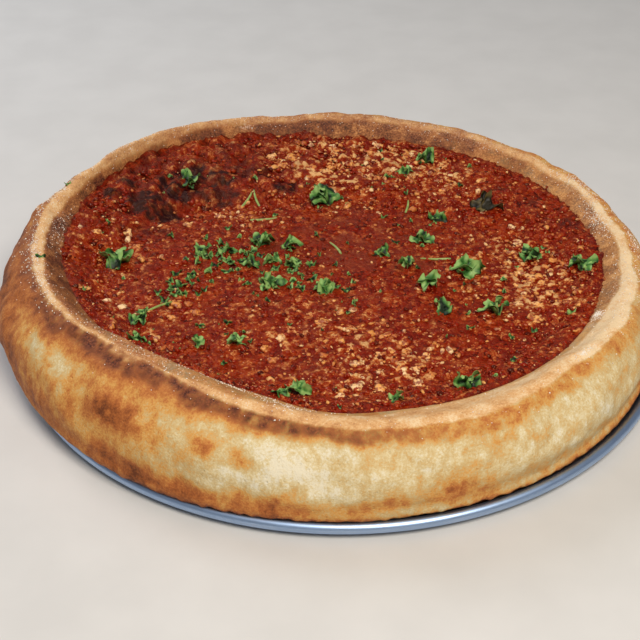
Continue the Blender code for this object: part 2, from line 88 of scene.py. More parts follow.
# A blister on the lip: azimuth and spread in degrees, and how far it stands out
BLISTER_AZIMUTH = 168.0
BLISTER_WIDTH = 2.6
BLISTER_SIZE = 5.0 * MM
FOOT_RADIUS = 156.8 * MM
HEEL_RADIUS = 169.8 * MM
HEEL_HEIGHT = 4.6 * MM
ANKLE_RADIUS = 171.3 * MM
ANKLE_HEIGHT = 6.2 * MM
OVERHANG_RADIUS = 171.8 * MM
OVERHANG_HEIGHT = 8.7 * MM
LOWER_WALL_HEIGHT = 17.5 * MM
CRUST_RELIEF = 0.9 * MM
CRUST_RELIEF_SIZE = 19.0 * MM
RECESS_HEIGHT = 27.0 * MM
RECESS_TAPER = 3.0 * MM
POOL_RADIUS = (118, 93, 77, 73, 80, 109, 125, 118, 110, 115, 118, 120)
POOL_HEIGHT = 37.5 * MM
LUMP_HEIGHT = 0.8 * MM
LUMP_SIZE = 13.0 * MM
DENT_PLACE = (-88.0 * MM, 72.0 * MM)
DENT_RADIUS = 22.0 * MM
DENT_DEPTH = 2.4 * MM
# Crumbs of cheese: x, y, radius of the patch and how many
CRUMB_PATCHES = (
    (-2, 103, 24, 11), (36, 122, 24, 7), (65, 90, 20, 5), (95, 8, 22, 8), (105, -32, 22, 9),
    (26, -88, 22, 9), (4, -100, 20, 3), (-125, 16, 18, 3), (-100, -45, 28, 4), (-66, 58, 12, 3),
    (-32, 112, 18, 3), (-23, -60, 40, 5),
)
CRUMB_SMALLEST = 1.5 * MM
CRUMB_LARGEST = 3.2 * MM
# Room round a crumb as a share of its size, tries for each, and the pool_reach that keeps
# crumbs and flecks off the crust
CRUMB_ROOM = 1.4
CRUMB_TRIES = 40
BITS_REACH = 0.86
FLECK_CLEARANCE = 1.0 * MM
FLECK_PLACES = (
    (-53, 91), (-134, 37), (-66, 42), (-98, 33), (-78, 30), (-59, 31), (-64, -5), (-13, 13),
    (-15, 34), (-24, -21), (-55, -13), (-83, -8), (-71, -17), (-77, -28), (-93, -24),
    (-137, -31), (-80, -46), (-74, -58), (-60, -55), (-40, -34), (-59, -91), (-42, -127),
    (27, 96), (24, 128), (38, 78), (78, 108), (71, 87), (12, 86), (24, 54), (30, 26),
    (76, 12), (6, -16), (88, -13), (126, -24), (6, -36), (66, -60), (87, -68), (120, -50),
    (86, -92), (99, -61), (7, -105), (33, -108),
)
FLECK_LENGTH = 6.0 * MM
FLECK_WIDTH = 3.4 * MM
# Stems: x, y, length and turn
STEM_PLACES = (
    (-4, 20, 14, 118), (-97, -40, 20, 40), (-57, 72, 13, 62), (-51, 73, 13, 108),
    (38, 66, 12, 80), (52, 9, 17, 176), (-46, 52, 16, 8),
)
STEM_RADIUS = 0.8 * MM
# Loose leaves: x, y, span, turn and lobes
LEAF_PLACES = (
    (-125, 6, 20, 15, 5), (-91, 87, 13, 250, 3), (-12, 73, 20, 10, 5), (-45, 25, 15, 80, 5),
    (-30, 21, 12, 200, 3), (-79, 16, 12, 140, 3), (-66, 16, 10, 60, 3), (-51, 1, 10, 300, 3),
    (-39, 6, 10, 30, 3), (-27, 2, 10, 330, 3), (-38, -17, 13, 170, 5), (-9, -23, 13, 45, 5),
    (-106, -51, 12, 100, 5), (-104, -76, 10, 210, 3), (-73, -73, 9, 280, 3),
    (-54, -72, 10, 95, 3), (-22, -115, 14, 350, 5), (-29, -125, 9, 120, 3),
    (52, 118, 15, 70, 5), (39, 101, 9, 230, 3), (54, 53, 11, 260, 3), (45, 28, 13, 340, 5),
    (22, 13, 10, 150, 3), (36, 3, 12, 60, 3), (69, -4, 18, 5, 5), (105, 10, 15, 315, 5),
    (131, -5, 16, 160, 5), (47, -18, 14, 355, 3), (53, -41, 12, 110, 3), (80, -43, 15, 20, 5),
    (61, -111, 16, 185, 5), (26, -125, 9, 75, 3),
)
DRIED_LEAF_PLACE = (85, 63, 15, 50, 3)
SOLID_SEED = 11

# Fine forms
CRUST_AZIMUTHS = 960
# Rings between the section's points from the foot to the recess, and which points are the
# lip and the hem
CRUST_RINGS = (1, 1, 2, 3, 7, 9, 9, 8, 6, 4, 4, 5, 6, 6, 5, 2)
LIP_POINT = 10
HEM_POINT = 4
WALL_LUMP = 0.32 * MM
WALL_LUMP_SIZE = 7.0 * MM
GRAIN_SIZE = 2.6 * MM
HEM_RAG = 0.9 * MM
HEM_RAG_SIZE = 4.5 * MM
HEM_DROP = 1.2 * MM
# Sizes of the noises that make the bands of baking uneven, wide and fine, and the toasted
# patches inside the rim
WOBBLE_SIZE = 11.0 * MM
RIPPLE_SIZE = 4.0 * MM
TOASTED_SIZE = 15.0 * MM
RIDGE_GROOVE = 0.9 * MM
SAUCE_FINE_RINGS = 166
SKIRT_DEPTH = 4.0 * MM
# Middle and half widths of the smooth pool, and the sizes of its uneven edge and surface
POOL_MIDDLE = (-12, 22)
POOL_HALF_WIDTHS = (62, 40)
POOL_EDGE_SIZE = 22.0 * MM
POOL_PATCH_SIZE = 11.0 * MM
CAUGHT_AND_SHADOW_RAG_SIZE = 7.0 * MM
# How far the sauce creeps up the crust, in millimetres all round
SAUCE_CREEP = (2.4, 2.4, 2.4, 2.4, 2.4, 2.4, 2.4, 2.4, 2.4, 1.6, 0.4, 1.4)
PULP_SIZE = 4.2 * MM
PULP_FINE_SIZE = 1.9 * MM
CHUNK_SIZE = 6.5 * MM
CHUNK_HEIGHT = 2.2 * MM
CLOT_SIZE = 4.4 * MM
CLOT_HEIGHT = 0.7 * MM
# Where more cheese melted than the large crumbs show: x, y, radius and weight
MELT_PATCHES = ((-80, 58, 15, 4), (0, 112, 24, 9), (38, 112, 20, 6), (64, 90, 14, 3),
                (100, -10, 30, 5))
# Where the sauce caught, and painted shadow of the hollows on its bank: x, y, half widths and
# strength
CAUGHT_AND_SHADOW_SPOTS = (
    (-109, 54, 16, 8, 1), (-113, 63, 15, 10, 1), (-99, 80, 16, 13, 1), (-80, 92, 22, 11, .9),
    (-60, 99, 20, 9, .6), (-74, 76, 14, 9, .75),
    (-35, 84, 9, 6, 1), (-112, 36, 16, 8, .5), (-135, 66, 6, 5, .95), (-125, 78, 6, 5, .95),
    (-66, 108, 12, 8, .45), (-104, 92, 40, 26, .34), (-60, 122, 30, 12, .3),
    (130, 40, 7, 5, .5), (112, 62, 9, 5, .45), (93, 79, 8, 5, .4),
)

# How the crust is baked: shares, read every 15 degrees of azimuth. From 150 to 210 degrees the top
# and middle rows are partly real browning and partly painted shade on the wall's far left.
TOP_BAKE_AND_SHADE = (.55, .52, .5, .5, .55, .6, .6, .55, .5, .5, .55, .65,
            .74, .76, .76, .78, .74, .68, .64, .58, .52, .48, .46, .49)
MIDDLE_BAKE_AND_SHADE = (.35, .4, .35, .3, .35, .4, .4, .35, .3, .35, .6, .82,
               .92, .84, .52, .5, .38, .18, .1, .2, .18, .19, .26, .36)
LOW_BAKE = (.52, .52, .45, .5, .55, .5, .5, .5, .55, .6, .6, .66,
            .7, .7, .66, .64, .65, .56, .46, .46, .34, .3, .36, .44)
CHAR_BAND = (0, 0, 0, 0, .1, .2, .2, .1, 0, .1, .2, .3,
             .45, .62, .85, 1, 1, .95, .7, .27, .08, .06, .05, .05)
# Radii in millimetres between which the rim's light crest lies, how baked it and the slope
# inside it are, and how deep the brown band under it runs
CREST_OUTER = (162, 162, 162, 163, 163, 163, 163, 163, 168, 169, 167, 166,
               164, 160.5, 154.5, 149.3, 149.7, 155, 160.8, 164.2, 164.8, 162.3, 164.5, 164)
CREST_INNER = (156, 157, 158, 158, 158, 157, 157, 159, 163, 164, 161, 159,
               157, 155, 151, 146.5, 147, 148, 149, 143, 144, 147, 150, 154)
# The crest's higher bake from 60 to 120 degrees is partly real browning and partly painted shade on
# the far side of the rim
CREST_BAKE_AND_SHADE = (.06, .1, .22, .36, .48, .55, .56, .52, .46, .42, .38, .3,
              .3, .3, .32, .42, .42, .36, .34, .28, .24, .16, .08, .07)
INNER_BAKE = (.3, .32, .38, .46, .56, .62, .62, .58, .52, .54, .62, .68,
              .72, .66, .56, .5, .45, .42, .4, .35, .3, .28, .28, .3)
BAND_DEPTH = (2.4, 3, 4, 5, 5, 5, 6, 6, 6, 6, 7, 9,
              11, 10.5, 9, 8, 7, 5.4, 4.2, 3.8, 3.6, 3.2, 3, 2.6)
INNER_SAND = (.85, .9, .8, .8, .9, 1, 1, .9, .85, .85, 1, 1,
              1, .95, .85, .75, .65, .5, .38, .35, .4, .45, .6, .8)
# Share of dark toasted patches on the slope inside the rim
INNER_CHAR = (.3, .35, .3, .35, .55, .7, .75, .7, .75, .9, .95, .85,
              .75, .6, .2, .1, .1, .1, .1, .1, .1, .15, .2, .3)
# Patches on the wall: azimuth, height, half width in degrees, half height, strength
WALL_PATCHES = (
    (233, 40, 4.5, 5.5, .46), (229, 44, 4, 4, .18), (250, 41.5, 1.7, 3, .5),
    (255.5, 39.5, 1.8, 4, .42), (216, 24, 4, 5, .3), (240, 17, 7, 5.5, .24), (234, 19, 4, 4, .16),
    (261, 21, 3.5, 6, .35), (279.5, 22, 2, 5, .18), (289, 23, 4, 7, .42), (283, 13, 5, 3.5, -.35),
    (212, 46, 9, 4.5, -.32), (265, 37, 5, 5, -.16), (254, 33, 2, 3.5, -.22), (324, 31, 4, 4, -.1),
    (276, 43, 5, 4, .12), (283, 34, 4, 5, -.12), (297, 41, 6, 3, .1), (273, 30, 3, 4, .1),
    (324, 38, 2, 2.5, .12), (204, 30, 4, 8, .2), (196, 38, 6, 3, -.15), (300, 30, 3, 5, .08),
    (312, 20, 6, 5, .1), (336, 20, 5, 8, .25), (20, 35, 8, 7, .3), (52, 22, 7, 6, .3),
    (75, 38, 8, 6, -.2), (98, 28, 6, 8, .35), (128, 40, 9, 6, .25), (146, 22, 6, 7, .3),
)
# Flour dusted on the rim: azimuth, share across from the lip to the sauce, spread in
# degrees, spread across, grains
FLOUR_PATCHES = (
    (163, 0.1, 9, .25, 220), (185, .1, 10, .22, 300), (200, .1, 8, .2, 170),
    (174, .7, 8, .3, 120), (262, .5, 6, .25, 150), (337, .8, 1.5, .1, 260),
    (320, .25, 1.4, .08, 110), (14, .55, 7, .3, 320), (27, .3, 7, .35, 220),
    (345, .4, 14, .4, 200), (5, -.1, 16, .2, 260), (60, .3, 25, .4, 160),
    (110, .2, 20, .4, 160), (140, .2, 15, .4, 200), (232, .3, 20, .3, 140), (247, .8, 10, .12, 160),
    (180, .3, 180, .6, 700),
)
# Little heaps of flour: azimuth, share across, spread in degrees, spread across, strength
FLOUR_HEAPS = ((336.5, .83, 1.6, .1, .85), (322.5, .28, 1.3, .07, .6), (215, .5, 1.5, .1, .3),
               (139.5, .2, 3, .12, .5), (110.7, .7, 1.5, .1, .4), (107, .2, 1.2, .08, .4))
# Lobes of a large crumb of cheese: share of its size, and how far out
CRUMB_LOBES = ((0.8, 0.1), (0.55, 0.66), (0.45, 0.85))
# Rounded lumps of cheese that the solid leaves out, for each crumb of a patch
LUMPS_A_CRUMB = 3
# Radii within which small crumbs and scraps are scattered, and sizes of a grain of flour
SCATTER_RADIUS = 150.0 * MM
SCRAP_RADIUS = 140.0 * MM
GRAIN_SMALLEST = 0.16 * MM
GRAIN_LARGEST = 0.36 * MM
CHEESE_SEED = 23
PULP_SEED = 83
FLOUR_SEED = 31
SCRAP_SEED = 47
DRIED_LEAF_SEED = 74
SCRAPS = 230
CLUSTERED_SCRAPS = 90
# How far scraps stray from a leaf, in clusters and elsewhere
CLUSTER_SPREAD = 9.0 * MM
SCRAP_SPREAD = 13.0 * MM
# How much painted light the crests of a leaf's crinkles get, and painted shade its hollows
CRINKLE_PAINTED_LIGHT = 2.4
# Where scraps of parsley lie thickest
CLUSTER_PLACES = ((-78, 12), (-66, 5), (-52, 14), (-40, 8), (-28, 4), (-18, -8), (-36, -18),
                  (-84, -12), (-92, -24), (-6, -22))
# Scraps that fell on the rim: azimuth, share across, half length in mm, narrowness and turn
RIM_SCRAPS = ((158.5, 0.08, 2.4, 0.8, 0.5), (187.0, 0.3, 3.0, 0.35, 0.15))

# The stage, in metres and degrees
CAMERA_ELEVATION = 34.5
CAMERA_DISTANCE = 0.8
CAMERA_LENS = 79.2
CAMERA_SHIFT = (-0.0352, 0.0047)
FLOOR_DROP = 0.2 * MM
FLOOR_SIZE = 6.0
LIGHT_SIZE = 0.6
KEY_PLACE = (0.25, -0.75, 1.05)
FILL_PLACE = (-0.7, 0.5, 0.8)


def linear(colour):
    """Linear red, green and blue of an sRGB hex colour; a linear colour stays as it is."""
    if not isinstance(colour, str):
        return tuple(colour)
    shares = [int(colour[k:k + 2], 16) / 255.0 for k in (1, 3, 5)]
    return tuple(c / 12.92 if c <= 0.04045 else ((c + 0.055) / 1.055) ** 2.4 for c in shares)


def colour_property(name, description, colour):
    """Colour setting whose default is an sRGB hex colour."""
    return FloatVectorProperty(name=name, description=description, subtype="COLOR", size=3,
                               min=0.0, max=1.0, default=linear(colour))


def length_property(name, description, value):
    """Length setting in metres."""
    return FloatProperty(name=name, description=description, default=value, min=0.0,
                         soft_max=0.1, precision=5, unit="LENGTH", subtype="DISTANCE")


class CrustSettings(bpy.types.PropertyGroup):
    """Colours and grain of the baked crust."""
    pale: colour_property("Pale dough", "Colour of the least baked dough", "#DFCC9E")
    golden: colour_property("Golden dough", "Colour of evenly baked dough", "#D79E53")
    brown: colour_property("Brown dough", "Colour of well baked patches", "#AC6230")
    dark: colour_property("Dark dough", "Colour of the darkest patches", "#6E3A1E")
    char: colour_property("Char", "Colour of the burnt band under the rim", "#3C1B12")
    sand: colour_property("Inner slope", "Colour of the rim's dusty inner slope", "#935832")
    tan: colour_property("Crest", "Colour of the rim's crest", "#E0AC72")
    flour: colour_property("Flour haze", "Colour of flour rubbed into the rim", "#F2E6D6")
    grain_height: length_property("Grain height", "Relief of the crust's fine grain", 0.15 * MM)


class SauceSettings(bpy.types.PropertyGroup):
    """Colours and relief of the tomato sauce."""
    deep: colour_property("Deep red", "Colour in the pits between bits of pulp", "#3C0300")
    red: colour_property("Sauce red", "Main colour of the sauce", "#8A1604")
    light: colour_property("Light pulp", "Colour of the light grains", "#BE6430")
    pool: colour_property("Pool brown", "Colour of the smooth pool", "#802E1A")
    # The burnt colour also paints the shadow of hollows on the sauce's bank
    burnt: colour_property("Burnt sauce", "Colour where the sauce caught", "#2C0A0C")
    bits: IntProperty(name="Bits", description="Bits of tomato that stand out of the sauce",
                      default=6500, min=0, max=9000)
    pulp_height: length_property("Pulp height", "Relief of the crushed tomato", 0.9 * MM)


class CheeseSettings(bpy.types.PropertyGroup):
    """Colours and amount of the grated cheese."""
    cream: colour_property("Cream cheese colour", "Colour of the palest crumbs", "#F8D29A")
    toasted: colour_property("Toasted cheese colour", "Colour of browned crumbs", "#C46C2A")
    film: colour_property("Sauce film", "Colour of the sauce that coats the crumbs", "#8E2A14")
    crumbs: IntProperty(name="Small crumbs", description="Crumbs besides the large ones",
                        default=3600, min=0, max=8000)


class ParsleySettings(bpy.types.PropertyGroup):
    """Colours of the parsley."""
    leaf: colour_property("Leaf green", "Main colour of the leaves", "#437630")
    # The tip green also paints highlight on the tips and crinkle crests, and the dark green paints
    # shade at the heart and in the hollows
    tip_painted_highlight: colour_property("Tip green", "Colour of the leaf tips and folds", "#93B767")
    shade: colour_property("Dark green", "Colour near the leaf's middle", "#10230A")
    stem: colour_property("Stem green", "Colour of the stems", "#A6B768")
    dried: colour_property("Dried leaf", "Colour of the one dried leaf", "#2E2712")
    thickness: length_property("Leaf thickness", "Thickness of a leaf", 0.45 * MM)


class PanSettings(bpy.types.PropertyGroup):
    """Colours of the aluminium pan."""
    # The aluminium colour carries a painted blue reflection of the surroundings
    metal: colour_property("Aluminium", "Colour of the clean metal", "#B4CAE8")
    # The oil stain is baked oil and also a painted reflection of the crust in the pan's inner side
    stain: colour_property("Oil stain", "Colour of oil baked on inside the edge", "#8C6E52")
    steps: IntProperty(name="Steps", description="Steps round the pan", default=288, min=64,
                       max=720)


class StageSettings(bpy.types.PropertyGroup):
    """Floor, lights and camera."""
    floor: colour_property("Floor", "Colour of the plain floor", "#D9D7D3")
    sky: colour_property("Sky", "Colour of the even light all round", "#E9EDF4")
    sky_strength: FloatProperty(name="Sky strength", description="Strength of the even light",
                                default=0.24, min=0.0)
    key_power: FloatProperty(name="Key light", description="Power of the large soft light",
                             default=13.5, min=0.0, unit="POWER")
    fill_power: FloatProperty(name="Fill light", description="Power of the second light",
                              default=5.0, min=0.0, unit="POWER")


def smooth_step(low, high, value):
    """0 below low, 1 above high and an eased climb between."""
    part = np.clip((value - low) / (high - low), 0.0, 1.0)
    return part * part * (3.0 - 2.0 * part)


def round_curve(values, azimuth):
    """Smooth value at each azimuth, from values evenly spaced round the circle."""
    table = np.asarray(values, float)
    count = len(table)
    place = np.mod(azimuth, 360.0) * count / 360.0
    index = np.floor(place).astype(int)
    part = place - index
    before, start, end, after = (table[(index + k) % count] for k in (-1, 0, 1, 2))
    slope = (end - before) * part
    curve = (2 * before - 5 * start + 4 * end - after) * part ** 2
    twist = (3 * start - before - 3 * end + after) * part ** 3
    return 0.5 * (2 * start + slope + curve + twist)


def noise_at(points, size, offset=0.0):
    """Gentle noise from -1 to 1 at each point, with features of a size in metres."""
    shift = Vector((offset, 0.37 * offset, -0.61 * offset))
    flat = np.asarray(points, float).reshape(-1, 3) / size
    values = [noise.noise(Vector(place) + shift) for place in flat]
    return np.clip(np.array(values) * 1.6, -1.0, 1.0).reshape(np.shape(points)[:-1])


def azimuth_of(x, y):
    """Azimuth of a place about the pizza's middle."""
    return np.degrees(np.arctan2(y, x - PIZZA_X))


def pool_reach(x, y):
    """How far a place is from the pool's edge (0) to the sauce's edge (1)."""
    azimuth = azimuth_of(x, y)
    pool = round_curve(POOL_RADIUS, azimuth) * MM
    edge = round_curve(SAUCE_RADIUS, azimuth) * MM
    return (np.hypot(x - PIZZA_X, y) - pool) / (edge - pool)


def sauce_height(x, y):
    """Height of the sauce at places, before its lumps."""
    azimuth = azimuth_of(x, y)
    reach = pool_reach(x, y)
    edge = round_curve(SAUCE_EDGE_HEIGHT, azimuth) * MM
    backness = smooth_step(-0.1, 0.6, np.sin(np.radians(azimuth)))
    steep = 0.6 * smooth_step(0.0, 0.22, reach) + 0.4 * smooth_step(0.1, 1.0, reach)
    gentle = smooth_step(0.0, 1.0, reach)
    climb = gentle + (steep - gentle) * backness
    away = np.hypot(x - DENT_PLACE[0], y - DENT_PLACE[1]) / DENT_RADIUS
    return POOL_HEIGHT + (edge - POOL_HEIGHT) * climb - DENT_DEPTH * np.exp(-away * away)


def caught_and_shadow_share(x, y, ragged=0.0):
    """How dark the sauce is at places, partly where it caught and partly painted shadow of hollows,
    with a ragged edge.
    """
    share = np.zeros_like(x)
    for spot_x, spot_y, wide, deep, strength in CAUGHT_AND_SHADOW_SPOTS:
        away = np.hypot((x / MM - spot_x) / wide, (y / MM - spot_y) / deep)
        share = np.maximum(share, strength * (1.0 - smooth_step(0.6, 1.25, away + 0.35 * ragged)))
    return share


def sauce_lump(x, y):
    """Lumps of tomato pulp, small in the pool and none at the rim."""
    reach = pool_reach(x, y)
    rough = 0.45 + 0.55 * smooth_step(-0.4, 0.1, reach)
    fade = 1.0 - smooth_step(0.85, 1.0, reach)
    places = zip(np.ravel(x), np.ravel(y))
    lumps = [noise.noise(Vector((a / LUMP_SIZE, b / LUMP_SIZE, 3.7))) for a, b in places]
    return LUMP_HEIGHT * rough * fade * np.array(lumps).reshape(np.shape(x)) * 2.0


def sauce_top(x, y):
    """Height of the sauce at places, with its lumps."""
    return sauce_height(x, y) + sauce_lump(x, y)


def add_piece(name, points, faces, material, attributes=(), replaced=()):
    """Smooth mesh piece that rides with the part, with its finish and attributes."""
    mesh = bpy.data.meshes.new(name)
    mesh.from_pydata(np.asarray(points, float).tolist(), [], [list(f) for f in faces])
    mesh.update()
    for label, values in dict(attributes).items():
        layer = mesh.attributes.new(label, "FLOAT", "POINT")
        layer.data.foreach_set("value", np.asarray(values, np.float32).ravel())
    mesh.materials.append(material)
    mesh.shade_smooth()
    piece = bpy.data.objects.new(name, mesh)
    bpy.context.scene.collection.objects.link(piece)
    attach(piece, "root")
    if replaced:
        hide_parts(*replaced)


def ring_faces(rings, around):
    """Quads of a closed tube of rings of points, numbered ring by ring."""
    level, turn = np.meshgrid(np.arange(rings - 1), np.arange(around), indexing="ij")
    after = (turn + 1) % around
    quads = (level * around + turn, level * around + after,
             (level + 1) * around + after, (level + 1) * around + turn)
    return np.stack(quads, axis=-1).reshape(-1, 4)


def fan(middle, ring):
    """Triangles from one point to each step round a closed ring of points."""
    return [(middle, here, after) for here, after in zip(ring, np.roll(ring, -1))]


def beside(x, y, away, turn):
    """Place at a distance and a turn from another place."""
    return x + away * math.cos(turn), y + away * math.sin(turn)


def turned(points, spin, tilt_x=0.0, tilt_y=0.0):
    """Points tilted about X and Y, then spun about Z."""
    rotation = Euler((tilt_x, tilt_y, 0.0)).to_matrix()
    rotation.rotate(Euler((0.0, 0.0, spin)))
    return points @ np.array(rotation).T


def set_inputs(tree, made, inputs):
    """Set a node's inputs to numbers and colours, or link them to sockets or to the first
    live output of other nodes."""
    for key, value in inputs.items():
        socket = made.inputs[key]
        if isinstance(value, bpy.types.Node):
            value = next(output for output in value.outputs if output.enabled)
        if isinstance(value, bpy.types.NodeSocket):
            tree.links.new(value, socket)
        elif socket.type == "RGBA":
            socket.default_value = (*linear(value), 1.0)
        else:
            socket.default_value = value


def node(tree, kind, inputs=(), ramp=(), **settings):
    """Shader node with its settings, its ramp's stops and its inputs."""
    made = tree.nodes.new("ShaderNode" + kind)
    for name, value in settings.items():
        setattr(made, name, value)
    for place, (position, colour) in enumerate(ramp):
        stops = made.color_ramp.elements
        stop = stops[place] if place < len(stops) else stops.new(position)
        stop.position = position
        stop.color = (*linear(colour), 1.0)
    set_inputs(tree, made, dict(inputs))
    return made


def new_material(name, inputs):
    """Node material with its shader's inputs set: material, tree, shader and object place."""
    material = bpy.data.materials.new(name)
    material.use_nodes = True
    tree = material.node_tree
    shader = tree.nodes["Principled BSDF"]
    set_inputs(tree, shader, inputs)
    return material, tree, shader, node(tree, "TexCoord").outputs["Object"]


def crust_material(settings):
    """Pizza dough, oven baked against an oiled pan: matt, blotched from cream to brown, with
    fine blisters and a sandy grain that catches small dull lights."""
    material, tree, shader, place = new_material(
        "baked pizza dough", {"Roughness": 0.62, "Specular IOR Level": 0.2})
    bake_and_painted_shade, char, sand, crest, flour = (
        node(tree, "Attribute", attribute_name=label).outputs["Fac"]
        for label in ("bake_and_painted_shade", "char", "sand", "crest", "flour"))
    upright = node(tree, "Mapping", {"Vector": place, "Scale": (1.0, 1.0, 0.4)})
    blotch, streak, grain, speckle = (
        node(tree, "TexNoise", {"Vector": at, "Scale": 1 / (size * MM), "Detail": detail,
                                "Roughness": rough})
        for at, size, detail, rough in ((place, 9.0, 4.0, 0.55), (upright, 4.0, 3.0, 0.5),
                                        (place, 1.1, 3.0, 0.65), (place, 1.0, 2.0, 0.5)))
    # The bake share holds painted shade on the wall's far left and on the crest's far side as well
    # as the real browning
    levels = [bake_and_painted_shade]
    for pattern, swing in ((blotch, 0.15), (streak, 0.09), (grain, 0.12)):
        spread = node(tree, "MapRange", {"Value": pattern, "From Min": 0.3, "From Max": 0.7,
                                         "To Min": -swing, "To Max": swing})
        levels.append(node(tree, "Math", {0: levels[-1], 1: spread}, operation="ADD"))
    dough = node(tree, "ValToRGB", {"Fac": levels[-1]}, ramp=(
        (0.0, "#EBE0C4"), (0.12, settings.pale), (0.27, "#D2B47C"), (0.44, settings.golden),
        (0.6, "#C47C3E"), (0.76, settings.brown), (1.0, settings.dark)))
    light = node(tree, "Math", {0: spread, 1: 1.4, 2: levels[1]}, operation="MULTIPLY_ADD")
    tan = node(tree, "ValToRGB", {"Fac": light}, ramp=(
        (0.05, "#F1D2A4"), (0.33, settings.tan), (0.62, "#B57A4C"), (0.85, "#8A5230")))
    speck = spread
    for value, gain in ((blotch, 0.6), (bake_and_painted_shade, -0.34), (speckle, 0.5)):
        speck = node(tree, "Math", {0: value, 1: gain, 2: speck}, operation="MULTIPLY_ADD")
    pepper = node(tree, "ValToRGB", {"Fac": speck}, ramp=(
        (0.16, "#54331F"), (0.34, settings.sand), (0.48, "#BE804A"), (0.64, "#DCA66E")))
    patchy = node(tree, "MapRange", {"Value": streak, "From Min": 0.32, "From Max": 0.52,
                                     "To Min": 0.6})
    burnt = node(tree, "Math", {0: char, 1: patchy}, operation="MULTIPLY")
    ember = node(tree, "ValToRGB", {"Fac": grain}, ramp=(
        (0.37, settings.char), (0.58, "#7A3F27"), (0.77, "#AC6C3C")))
    dust = node(tree, "MapRange", {"Value": speckle, "From Min": 0.45, "From Max": 0.62})
    haze = node(tree, "Math", {0: flour, 1: dust}, operation="MULTIPLY")
    colour = dough
    for share, layer in ((crest, tan), (sand, pepper), (burnt, ember), (haze, settings.flour)):
        colour = node(tree, "Mix", {0: share, 6: colour, 7: layer}, data_type="RGBA")
    pores = node(tree, "TexVoronoi", {"Vector": place, "Scale": 1 / (5.5 * MM)}, feature="F1")
    pit = node(tree, "MapRange", {"Value": pores, "From Min": 0.04, "From Max": 0.14})
    both = node(tree, "Math", {0: grain, 1: speckle}, operation="ADD")
    relief = node(tree, "Math", {0: both, 1: pit, 2: 0.3}, operation="MULTIPLY_ADD")
    bump = node(tree, "Bump", {"Height": relief, "Strength": 0.62, "Distance": 0.5 * MM})
    set_inputs(tree, shader, {"Base Color": colour, "Normal": bump})
    return material


def sauce_material(settings):
    """Crushed tomato sauce with cheese stirred in, baked with oil: deep red, wet and glossy, a
    dense mix of rounded grains about 3 mm across from dark red to orange and cream."""
    material, tree, shader, place = new_material("baked tomato sauce", {
        "Roughness": 0.17, "Specular IOR Level": 0.3, "Specular Tint": "#FFB474"})
    pulp, pool, burnt, melt, clot = (
        node(tree, "Attribute", attribute_name=label).outputs["Fac"]
        for label in ("pulp", "pool", "burnt", "melt", "clot"))
    stir, grain, oil = (
        node(tree, "TexNoise", {"Vector": place, "Scale": 1 / (size * MM), "Detail": detail,
                                "Roughness": rough})
        for size, detail, rough in ((2.6, 2.0, 0.5), (1.2, 3.0, 0.65), (17.0, 2.0, 0.5)))
    bent = node(tree, "VectorMath", {0: stir.outputs["Color"], 1: (2.2 * MM,) * 3, 2: place},
                operation="MULTIPLY_ADD")
    cells = node(tree, "TexVoronoi", {"Vector": bent, "Scale": 1 / (2.7 * MM)}, feature="F1")
    pick = node(tree, "SeparateColor", {0: cells.outputs["Color"]})
    gain, creamy, stain, oily, still, ragged = (
        node(tree, "MapRange", {"Value": value, "From Min": low, "From Max": high,
                                "To Min": start, "To Max": end})
        for value, low, high, start, end in (
            (grain, 0.3, 0.7, 0.0, 0.38), (clot, 0.0, 0.45, 0.0, 0.52),
            (clot, 0.0, -0.34, 0.0, 0.85), (oil, 0.52, 0.68, 0.0, 0.36),
            (oil, 0.53, 0.38, 0.0, 0.38), (clot, 0.45, -0.2, 0.5, 1.15)))
    level = gain
    # The pulp share also carries painted shade and light on the bank's chunks
    for value, share in ((pick, 0.46), (pulp, 0.13), (melt, creamy)):
        level = node(tree, "Math", {0: value, 1: share, 2: level}, operation="MULTIPLY_ADD")
    body = node(tree, "ValToRGB", {"Fac": level}, ramp=(
        (0.16, settings.deep), (0.34, settings.red), (0.56, "#963310"),
        (0.68, settings.light), (0.82, "#DE9A5C"), (0.96, "#F2C080")))
    calm = node(tree, "Math", {0: pool, 1: 0.66, 2: still}, operation="MULTIPLY_ADD",
                use_clamp=True)
    # Where the sauce caught, and painted shadow of the bank's hollows
    caught = node(tree, "Math", {0: burnt, 1: ragged}, operation="MULTIPLY", use_clamp=True)
    colour = body
    for share, layer in ((stain, "#700A00"), (oily, "#A83A0C"), (calm, settings.pool),
                         (caught, settings.burnt)):
        colour = node(tree, "Mix", {0: share, 6: colour, 7: layer}, data_type="RGBA")
    rounded = node(tree, "Math", {0: cells, 1: -0.9, 2: grain}, operation="MULTIPLY_ADD")
    bump = node(tree, "Bump", {"Height": rounded, "Strength": 0.85, "Distance": 1.0 * MM})
    set_inputs(tree, shader, {"Base Color": colour, "Normal": bump})
    return material


def pulp_material(settings):
    """Bits of crushed tomato: wet, glossy skins and seeds from dark red to orange."""
    material, tree, shader, place = new_material("crushed tomato bits", {
        "Roughness": 0.11, "Specular IOR Level": 0.5, "Specular Tint": "#FFD2A4"})
    tone = node(tree, "Attribute", attribute_name="tone").outputs["Fac"]
    mottle = node(tree, "TexNoise", {"Vector": place, "Scale": 1 / (0.9 * MM), "Detail": 2.0})
    level = node(tree, "Math", {0: mottle, 1: 0.4, 2: tone}, operation="MULTIPLY_ADD")
    shade = node(tree, "ValToRGB", {"Fac": level}, ramp=(
        (0.1, settings.deep), (0.45, settings.red), (0.8, "#98300F"), (1.0, settings.light)))
    bump = node(tree, "Bump", {"Height": mottle, "Strength": 0.4, "Distance": 0.3 * MM})
    set_inputs(tree, shader, {"Base Color": shade, "Normal": bump})
    return material


